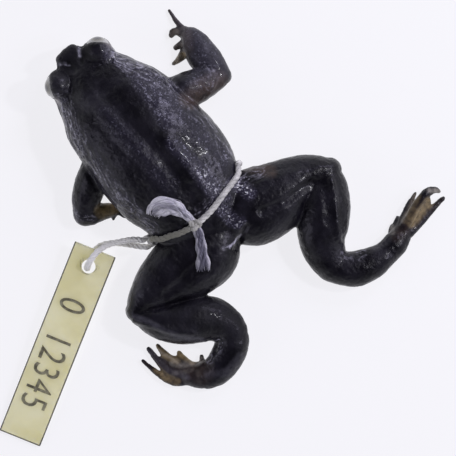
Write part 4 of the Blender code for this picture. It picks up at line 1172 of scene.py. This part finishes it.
# Grey is partly the thin skin's own colour and partly painted light: the strokes on the snout's clefts are
# painted highlight lines, and those along the left elbow, the left thigh's outer edge and the left shank's
# edge are painted rim light.
GREY_AND_RIM_LIGHT_MARKS = (
    (((-7.4, -20.2), (-7.6, -18.6), (-7.0, -17.4)), 1.3, 0.7),
    (((7.6, -19.0), (7.7, -18.0), (7.2, -17.2)), 1.2, 0.7),
    (((-3.1, -23.1), (-2.3, -22.0), (-1.6, -20.9)), 0.5, 1.0),
    (((3.0, -22.9), (2.1, -22.3), (1.3, -21.7)), 0.4, 0.8),
    (((16.6, -3.8), (18.2, -1.5), (19.4, 1.3)), 1.2, 0.6),
    (((15.4, 15.2), (17.5, 17.0), (19.6, 19.2)), 1.3, 0.32),
    (((22.8, 22.2), (21.4, 24.6), (20.6, 27.3), (18.9, 30.7), (16.0, 34.2)), 0.7, 0.42),
    (((-19.8, -10.6), (-20.7, -7.4), (-20.2, -4.0), (-18.6, -2.4)), 3.0, 0.36),
    (((-17.0, -5.6), (-18.4, -8.6)), 2.0, 0.3),
    (((-13.0, -3.6), (-17.0, -2.6)), 2.0, 0.25),
    (((5.2, -18.6), (5.0, -20.2)), 1.6, 0.16),
    (((3.2, -14.6), (2.2, -11.0)), 2.0, 0.12),
    (((2.0, -8.0), (1.8, 2.5)), 3.4, 0.055),
    (((-0.5, -15.5), (-0.5, -12.0)), 2.6, 0.05),
    (((19.7, 39.7), (16.6, 41.6), (12.6, 41.0)), 1.0, 0.3),
    (((25.0, 29.0), (24.8, 34.0), (23.0, 37.4)), 0.8, 0.45),
    (((-19.6, -12.0), (-19.9, -16.0)), 0.9, 0.35),
    (((-22.4, 43.0), (-19.0, 42.4)), 0.7, 0.15),
)
# Places given a painted sheen: a paler violet tint with pale painted specks and painted glints; there the
# granules' bump is also higher and the coat glossier
SHEEN_MARKS = (
    (((-8.4, -10.5), (-8.5, -6.0), (-7.4, -1.0)), 3.6, 0.8),
    (((-8.4, 0.0), (-8.8, 5.8), (-9.0, 11.0)), 3.2, 0.45),
    (((-4.0, 3.0), (-4.4, 9.8)), 1.8, 0.7),
    (((-4.4, 9.6), (-4.2, 13.6), (-3.9, 16.6)), 2.2, 1.0),
    (((-7.6, 15.8), (-8.4, 17.6), (-8.6, 19.2)), 1.6, 1.2),
    (((-2.5, 17.2), (-2.9, 19.0), (-2.8, 20.9)), 1.6, 0.95),
    (((-3.0, 22.2), (-4.2, 22.0)), 1.0, 1.0),
    (((-6.8, -18.0), (-7.0, -15.0), (-8.6, -12.0)), 1.9, 0.9),
    (((-5.6, -17.6), (-6.6, -16.6)), 1.2, 1.0),
    (((2.2, -9.0), (2.0, -2.0), (1.4, 8.0)), 2.2, 0.26),
    (((7.0, -16.4), (8.4, -12.0), (9.6, -8.0)), 1.8, 0.5),
    (((9.4, -4.0), (10.4, 3.0), (9.8, 12.0)), 2.0, 0.4),
    (((-19.8, -10.0), (-20.0, -5.0), (-15.0, -3.0)), 3.0, 0.35),
)
# Painted highlight lines: along the edges of the snout's clefts and on a shred of skin between the thighs
HIGHLIGHT_LINE_MARKS = (
    (((-3.07, -23.04), (-2.3, -22.0), (-1.6, -20.9)), 0.26, 0.8),
    (((3.0, -22.8), (1.7, -21.75), (0.9, -20.8)), 0.2, 0.4),
    (((-2.3, 23.9), (-1.3, 23.9), (-0.5, 24.2), (0.3, 24.2), (0.9, 24.2)), 0.24, 1.0),
    (((0.0, 24.2), (1.0, 24.0), (2.0, 23.6)), 0.2, 0.6),
)
# Places with less wet gloss: the snout's lobe, the right forearm, the left shank and the mid back
MATTE_MARKS = (
    (((-1.8, -22.0), (1.8, -22.0)), 3.2, 1.0),
    (((-19.4, -9.0), (-20.0, -4.0), (-17.0, -2.4)), 3.4, 0.5),
    (((16.0, 28.6), (12.2, 31.0), (9.6, 33.4), (9.4, 36.4)), 4.5, 0.5),
    (((-3.8, -4.0), (-5.2, -1.0)), 3.0, 0.3),
)
STROKES = {
    "pale": PALE_AND_HIGHLIGHT_MARKS,
    "gold": GOLD_MARKS,
    "warm": WARM_MARKS,
    "grey": GREY_AND_RIM_LIGHT_MARKS,
    "sheen": SHEEN_MARKS,
    "crest": HIGHLIGHT_LINE_MARKS,
    "matte": MATTE_MARKS,
}
# Gold is painted only below the first height, and the painted highlight lines only above the second.
GOLD_TOP = 5.4
HIGHLIGHT_LINE_FLOOR = 5.6
MEMBRANE_GREY = 0.8
# How far round the sides, as seen from above, a stroke reaches.
STROKE_WRAP = 0.8
# The belly's pale tint grows where the skin faces down by more than this.
BELLY_SLOPE = -0.45
BELLY_BLEND = 0.3


def painted(strokes, places, normals):
    """A value for each vertex, from soft strokes seen from above."""
    value = np.zeros(len(places))
    facing = np.clip(normals[:, 2] + STROKE_WRAP, 0, 1)
    for path, radius, strength in strokes:
        distance = along_path(places, path)[0]
        value = np.maximum(value, strength * fall_off(distance / radius) ** 0.5 * facing)
    return value


places, normals = read_skin()
tints = {name: painted(strokes, places, normals) for name, strokes in STROKES.items()}
tints["gold"] *= np.clip(GOLD_TOP - places[:, 2], 0, 1)
tints["grey"] = np.maximum(tints["grey"], MEMBRANE_GREY * lid_membrane(places))
# painted highlight lines: the strokes above a height, and the crests of the wrinkles
tints["crest"] *= np.clip(places[:, 2] - HIGHLIGHT_LINE_FLOOR, 0, 1)
tints["crest"] = np.maximum(tints["crest"], wrinkles_at(places, normals)[1])
tints["belly"] = np.clip((BELLY_SLOPE - normals[:, 2]) / BELLY_BLEND, 0, 1)
for name, values in tints.items():
    write_values(skin, name, values)

SKIN_DARK = (0.0038, 0.0032, 0.0062)
SKIN_LIGHT = (0.0110, 0.0096, 0.0165)
# painted sheen: pale specks
SKIN_SHEEN_SPECK = (0.38, 0.37, 0.48)
# painted highlights on crests
SKIN_CREST_HIGHLIGHT = (0.62, 0.60, 0.72)
# painted glints
SKIN_PAINTED_GLINT = (0.95, 0.95, 1.0)
# Tints laid over the dark skin in this order, each by the values of its name; "sheen" is a painted sheen,
# and "grey" is partly painted rim light and highlight
SKIN_TINTS = {
    "sheen": (0.036, 0.032, 0.056),
    "warm": (0.080, 0.052, 0.040),
    "grey": (0.13, 0.125, 0.155),
    "gold": (0.40, 0.30, 0.155),
    "pale": (0.52, 0.48, 0.42),
    "belly": (0.42, 0.39, 0.34),
}


def frog_leather():
    """Wet dark skin: fine granules, a painted sheen with pale specks and white glints in clusters, painted
    highlights on crests, and pale or brown places.
    """
    gloss = {"Specular IOR Level": 0.24, "Coat Roughness": 0.12, "Coat IOR": 1.36}
    material, tree, shader = new_shader("wet_frog_skin", gloss)

    def product(first, second):
        """Two values multiplied."""
        return worked_out(tree, "MULTIPLY", first, second)

    blotches = noise_texture(tree, 260.0, 4.0)
    streaks = noise_texture(tree, 950.0, 5.0)
    patches = noise_texture(tree, 420.0)
    colour = blended(tree, ranged(tree, blotches, 0.38, 0.66), SKIN_DARK, SKIN_LIGHT)
    edge = ranged(tree, streaks, 0.30, 0.62, 0.35, 1.0)
    for name, tint in SKIN_TINTS.items():
        colour = blended(tree, product(attribute(tree, name), edge), colour, tint)
    # the sheen marks: a painted sheen in the colour, and more bump and coat gloss
    sheen_and_gloss = attribute(tree, "sheen")
    # painted sheen: pale specks in clusters where the sheen marks lie
    sheen_specks = ranged(tree, noise_texture(tree, 2500.0), 0.56, 0.70)
    sheen_specks = product(sheen_specks, ranged(tree, patches, 0.40, 0.58, 0.25, 1.0))
    colour = blended(tree, product(sheen_and_gloss, sheen_specks), colour, SKIN_SHEEN_SPECK)
    # painted glints: white specks where the sheen marks are strongest
    painted_glints = ranged(tree, noise_texture(tree, 1900.0, 1.0), 0.57, 0.64)
    painted_glints = product(painted_glints, ranged(tree, patches, 0.42, 0.56, 0.4, 1.0))
    strongest_sheen = ranged(tree, sheen_and_gloss, 0.80, 1.1)
    colour = blended(tree, product(strongest_sheen, painted_glints), colour, SKIN_PAINTED_GLINT)
    # painted highlights along the crests
    crest_highlights = product(attribute(tree, "crest"), ranged(tree, streaks, 0.40, 0.60, 0.2, 1.0))
    feed(tree, shader.inputs["Base Color"], blended(tree, crest_highlights, colour, SKIN_CREST_HIGHLIGHT))

    granules = textured(tree, "ShaderNodeTexVoronoi", 1700.0, 3.0)
    granules.feature = "SMOOTH_F1"
    creases = noise_texture(tree, 1500.0, 4.0)
    height = worked_out(tree, "MULTIPLY_ADD", granules.outputs["Distance"], -0.8, creases)
    raised = product(height, ranged(tree, sheen_and_gloss, 0.0, 1.0, 0.35, 1.0))
    roughen(tree, shader, raised, strength=1.0, distance=0.17)

    matte = attribute(tree, "matte")
    uneven = ranged(tree, blotches, 0.3, 0.7, 0.30, 0.46)
    feed(tree, shader.inputs["Roughness"], worked_out(tree, "MULTIPLY_ADD", matte, 0.45, uneven))
    puddled = ranged(tree, blotches, 0.35, 0.65, 0.10, 0.40)
    wetness = worked_out(tree, "MULTIPLY_ADD", sheen_and_gloss, 0.35, puddled)
    kept = ranged(tree, matte, 0.0, 1.0, 1.0, 0.05)
    feed(tree, shader.inputs["Coat Weight"], product(wetness, kept))
    return material


skin.data.transform(Matrix.Scale(MM, 4))
skin.data.materials.clear()
skin.data.materials.append(frog_leather())
skin.data.shade_smooth()
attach(skin, "root")
flesh_nodes = ["head", "torso"]
for side in ("right", "left"):
    for part in ("upper_arm", "forearm", "hand", "thigh", "shank", "tarsus", "foot"):
        flesh_nodes.append(f"{part}_{side}")
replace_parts(skin, *flesh_nodes)


# Each eye is a ball clouded by the spirit: a milky cornea over a dull grey-gold iris and a dark
# pupil. It sits under the thick rim of its lids.
CORNEA_SWELL = 0.05
PUPIL_ANGLE = 19.0
PUPIL_BLUR = 6.0
IRIS_ANGLE = 40.0
EYE_MILK = (0.44, 0.435, 0.42)
EYE_IRIS = (0.26, 0.25, 0.21)
EYE_PUPIL = (0.14, 0.14, 0.14)
EYE_SEGMENTS = 64
EYE_RINGS = 40


def clouded_eye(name):
    """Milky eyeball whose rings are drawn round the way it looks."""
    gloss = {"Roughness": 0.16, "Coat Weight": 0.6, "Coat Roughness": 0.05}
    material, tree, shader = new_shader(name, gloss)
    turn = attribute(tree, "turn_from_look")
    turn = worked_out(tree, "MULTIPLY_ADD", noise_texture(tree, 1100.0, 4.0), 0.12, turn)
    rings = (
        (PUPIL_ANGLE / 90, EYE_PUPIL),
        (IRIS_ANGLE / 90, EYE_MILK),
        ((PUPIL_ANGLE + PUPIL_BLUR) / 90, EYE_IRIS),
    )
    feed(tree, shader.inputs["Base Color"], ramped(tree, turn, *rings))
    return material


for name, (middle, look) in EYES.items():
    ahead = Vector(look)
    place = Matrix.Translation(Vector(middle) + ahead.normalized() * EYE_SHIFT)
    place = place @ ahead.to_track_quat("Z", "Y").to_matrix().to_4x4()
    bm = bmesh.new()
    bmesh.ops.create_uvsphere(bm, u_segments=EYE_SEGMENTS, v_segments=EYE_RINGS, radius=EYE_RADIUS)
    turns = []
    for vert in bm.verts:
        turn = vert.co.angle(Vector((0, 0, 1)), 0.0)
        turns.append(turn / (pi / 2))
        swell = CORNEA_SWELL * max(0.0, 1 - turn / radians(IRIS_ANGLE)) ** 0.5
        vert.co += vert.co.normalized() * swell
    bmesh.ops.transform(bm, matrix=place, verts=bm.verts)
    ball = add_piece(bm, "ball_" + name, clouded_eye("clouded_" + name))
    write_values(ball, "turn_from_look", turns)
    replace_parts(ball, name)


# The waist string is the same three-ply cotton, drawn tight round the waist in front of the
# thighs and tied on the back with a small overhand knot. Its two cut ends have frayed.
WAIST_OVER_LEFT = ((3.9, 16.75), (6.2, 16.1), (7.9, 15.3), (9.4, 14.6))
WAIST_OVER_RIGHT = ((-9.2, 15.0), (-6.2, 15.8), (-3.8, 16.3), (-1.0, 16.9), (1.9, 17.0))
WAIST_SIDE_Y = 13.6
WAIST_SIDE_LEVELS = (8.0, 6.0, 4.0, 2.8)
WAIST_UNDER_X = (7.5, 3.5, 0.0, -3.5, -7.5)
KNOT = (2.9, 16.8)
KNOT_SIZE = 0.30
KNOT_LIFT = 0.75
KNOT_RISE = 1.25
KNOT_RADIUS = 0.50
KNOT_PLY_RADIUS = 0.27
KNOT_STEPS = 120
SINK = 0.12
ABOVE_SKIN = 40.0
BELOW_SKIN = -5.0
SMOOTHING_ROUNDS = 3
PUSH_ROUNDS = 6
# How stained the cotton is: the waist string at its right and its left, the knot and the hitch
WAIST_STAINS = (0.15, 0.90)
STAIN_START = 2.0
STAIN_BLEND = 3.0
KNOT_STAIN = 0.5
HITCH_STAIN = 0.35

bm = bmesh.new()
bm.from_mesh(skin.data)
bmesh.ops.scale(bm, vec=(1 / MM,) * 3, verts=bm.verts)
surface = BVHTree.FromBMesh(bm)
bm.free()


def skin_from(start, way):
    """The first point of the skin that is met from a start along a way."""
    return surface.ray_cast(Vector(start), Vector(way))[0]


def rest_on_skin(x, y, clearance):
    """The point over (x, y) that clears the skin by the given height."""
    return Vector((x, y, skin_from((x, y, ABOVE_SKIN), (0, 0, -1)).z + clearance))


def push_clear(points, clearance):
    """Moves points away from the skin until each clears it."""
    for point in points:
        for attempt in range(PUSH_ROUNDS):
            hit, normal, index, distance = surface.find_nearest(point)
            outside = (point - hit).dot(normal) > 0
            if outside and distance >= clearance:
                break
            point += normal * (clearance - distance if outside else clearance + distance)
    return points


clearance = STRING_RADIUS - SINK
waist = [rest_on_skin(x, y, clearance) for x, y in WAIST_OVER_LEFT]
for level in WAIST_SIDE_LEVELS:
    hit = skin_from((0, WAIST_SIDE_Y, level), (1, 0, 0))
    waist.append(hit + Vector((clearance, 0, 0)))
for x in WAIST_UNDER_X:
    hit = skin_from((x, WAIST_SIDE_Y, BELOW_SKIN), (0, 0, 1))
    waist.append(hit - Vector((0, 0, clearance)))
for level in reversed(WAIST_SIDE_LEVELS):
    hit = skin_from((0, WAIST_SIDE_Y, level), (-1, 0, 0))
    waist.append(hit - Vector((clearance, 0, 0)))
waist += [rest_on_skin(x, y, clearance) for x, y in WAIST_OVER_RIGHT]
waist = evenly(spline([tuple(point) for point in waist], 6), RING_SPACING * 2)
waist = push_clear(waist, clearance)
for attempt in range(SMOOTHING_ROUNDS):
    between = [(a + b * 2 + c) / 4 for a, b, c in zip(waist, waist[1:], waist[2:])]
    waist = [waist[0], *between, waist[-1]]
bm = bmesh.new()
twist_plies(bm, evenly(waist, RING_SPACING))
right_stain, left_stain = WAIST_STAINS
stains = []
for vert in bm.verts:
    share = min(1.0, max(0.0, (vert.co.x - STAIN_START) / STAIN_BLEND))
    stains.append(right_stain + (left_stain - right_stain) * share)
waist_string = cotton_piece(bm, "waist_string", string_cotton, stains)
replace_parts(waist_string, "string_waist")

# the overhand knot: a trefoil drawn tight
knot_middle = rest_on_skin(*KNOT, KNOT_LIFT)
trefoil = []
for step in range(KNOT_STEPS):
    t = 2 * pi * step / KNOT_STEPS
    spot = (sin(t) + 2 * sin(2 * t), cos(t) - 2 * cos(2 * t), -KNOT_RISE * sin(3 * t))
    trefoil.append(knot_middle + Vector(spot) * KNOT_SIZE)
bm = bmesh.new()
twist_plies(bm, evenly(trefoil + trefoil[:2], RING_SPACING), KNOT_RADIUS, KNOT_PLY_RADIUS)
knot = cotton_piece(bm, "waist_knot", string_cotton, KNOT_STAIN)
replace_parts(knot, "string_knot")

# The tag's loop is hitched round the waist string at the frog's left side.
HITCH_START = -75.0
HITCH_SWEEP = 510.0
HITCH_TOP = 5.0
HITCH_FOOT = 2.0
HITCH_REACH = 0.85
HITCH_STEPS = 24
HITCH_FROM_X = 9.0
HITCH_RADIUS = 0.55
HITCH_PLY_RADIUS = 0.33
side_points = [p for p in waist if p.x > HITCH_FROM_X and HITCH_FOOT < p.z < HITCH_TOP]
hitch_line = [TAG_STRING[0]]
for index in range(HITCH_STEPS + 1):
    share = index / HITCH_STEPS
    point = side_points[round(share * (len(side_points) - 1))]
    angle = radians(HITCH_START + HITCH_SWEEP * share)
    hitch_line.append(tuple(point + Vector((cos(angle), sin(angle), 0)) * HITCH_REACH))
hitch_line.append(TAG_STRING[-1])
bm = bmesh.new()
twist_plies(bm, evenly(spline(hitch_line, 4), RING_SPACING), HITCH_RADIUS, HITCH_PLY_RADIUS)
cotton_piece(bm, "tag_hitch", loop_cotton, HITCH_STAIN)

# The frayed ends, seen from above: (x, y, half width, half thickness)
FRAYED_CURL = (
    (2.9, 16.3, 0.55, 0.5),
    (2.9, 15.1, 0.65, 0.55),
    (3.1, 14.0, 0.85, 0.55),
    (3.4, 12.7, 1.25, 0.5),
    (4.1, 11.3, 1.6, 0.5),
    (5.5, 10.2, 1.85, 0.45),
    (6.8, 10.0, 1.7, 0.4),
    (7.9, 10.5, 1.3, 0.35),
)
FRAYED_TAIL = (
    (3.1, 17.3, 0.75, 0.5),
    (3.5, 18.5, 0.85, 0.55),
    (4.1, 19.7, 0.9, 0.55),
    (4.9, 20.9, 0.95, 0.5),
    (5.7, 22.1, 1.05, 0.5),
    (6.6, 23.3, 1.3, 0.45),
    (7.6, 24.5, 1.5, 0.4),
)
FRAY_THREADS = 40
FRAY_FIBRES = 110
THREAD_RADIUS = 0.15
FIBRE_RADIUS = 0.035
THREAD_LENGTHS = (0.86, 1.0)
THREAD_HEIGHTS = (0.75, 1.0)
THREAD_SWAY = 0.05
FIBRE_STARTS = (0.0, 0.75)
FIBRE_PLACES = (-1.1, 1.1)
FIBRE_LENGTHS = (0.15, 0.4)
FIBRE_HEIGHTS = (1.0, 1.3)
FIBRE_SWAY = 0.12
STAIN_WIDTH = 0.8
STAIN_DEPTH = 0.9
STAIN_CHANCE = (-0.35, 0.35)
THREAD_SPACING = 0.3
THREAD_CLEAR = 0.6
SPREAD = 0.92
RUFFLE = 0.10
RUFFLE_WAVE = 0.55
SWAY_WAVE = 0.45
LUMPINESS = 0.35
LUMP_WAVE = 0.7
DOME_FLOOR = 0.05
TIP_SHARE = 0.35
TIP_TAPER = 0.12
frayed_cotton = cotton("frayed_cotton", (0.96, 0.94, 1.0), (0.56, 0.54, 0.64), (0.11, 0.105, 0.155))
rng = np.random.default_rng(11)


def fray(name, stations, node, damp):
    """Opened plies that lie side by side on the skin, with loose fibres over them."""
    rows = spline(stations, 6)
    bm = bmesh.new()
    stains = []

    def strand(across, start, length, radius, sway, height, sides):
        """One thread laid along a share of the end's length, at a share of its half width."""
        line = []
        first = int(start * (len(rows) - 1))
        last = max(first + 4, int((start + length) * (len(rows) - 1)))
        sway_at = rng.uniform(0, 2 * pi)
        for index in range(first, min(last, len(rows) - 1) + 1):
            x, y, half_width, half_thick = rows[index]
            before = rows[max(index - 1, 0)]
            after = rows[min(index + 1, len(rows) - 1)]
            run = Vector((after[0] - before[0], after[1] - before[1])).normalized()
            ruffle = RUFFLE * sin(index * RUFFLE_WAVE + across * 5.0) * min(1.0, index / 12)
            sways = sway * sin(sway_at + index * SWAY_WAVE)
            offset = across * half_width * SPREAD + sways + ruffle
            spot = Vector((x - run.y * offset, y + run.x * offset))
            dome = sqrt(max(DOME_FLOOR, 1 - min(1.0, abs(across)) ** 2))
            lumps = 1 + LUMPINESS * sin(index * LUMP_WAVE + across * 9.0)
            lift = half_thick * dome * height * lumps
            line.append(rest_on_skin(spot.x, spot.y, radius * THREAD_CLEAR + lift))
        line = evenly(spline([tuple(point) for point in line], 2), THREAD_SPACING)
        to_tip = reversed(range(len(line)))
        radii = [radius * min(1.0, TIP_SHARE + k * TIP_TAPER) for k in to_tip]
        before = len(bm.verts)
        sweep_tube(bm, line, radii, sides)
        stain = damp + max(0.0, STAIN_WIDTH - abs(across)) * STAIN_DEPTH + rng.uniform(*STAIN_CHANCE)
        stains.extend([min(1.0, max(0.0, stain))] * (len(bm.verts) - before))

    for index in range(FRAY_THREADS):
        across = -1 + 2 * (index + 0.5) / FRAY_THREADS
        length, height = rng.uniform(*THREAD_LENGTHS), rng.uniform(*THREAD_HEIGHTS)
        strand(across, 0.0, length, THREAD_RADIUS, THREAD_SWAY, height, sides=7)
    for index in range(FRAY_FIBRES):
        start, across = rng.uniform(*FIBRE_STARTS), rng.uniform(*FIBRE_PLACES)
        length, height = rng.uniform(*FIBRE_LENGTHS), rng.uniform(*FIBRE_HEIGHTS)
        strand(across, start, length, FIBRE_RADIUS, FIBRE_SWAY, height, sides=4)
    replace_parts(cotton_piece(bm, name, frayed_cotton, stains), node)


fray("frayed_curl", FRAYED_CURL, "string_curl", damp=0.05)
fray("frayed_tail", FRAYED_TAIL, "string_tail", damp=0.55)
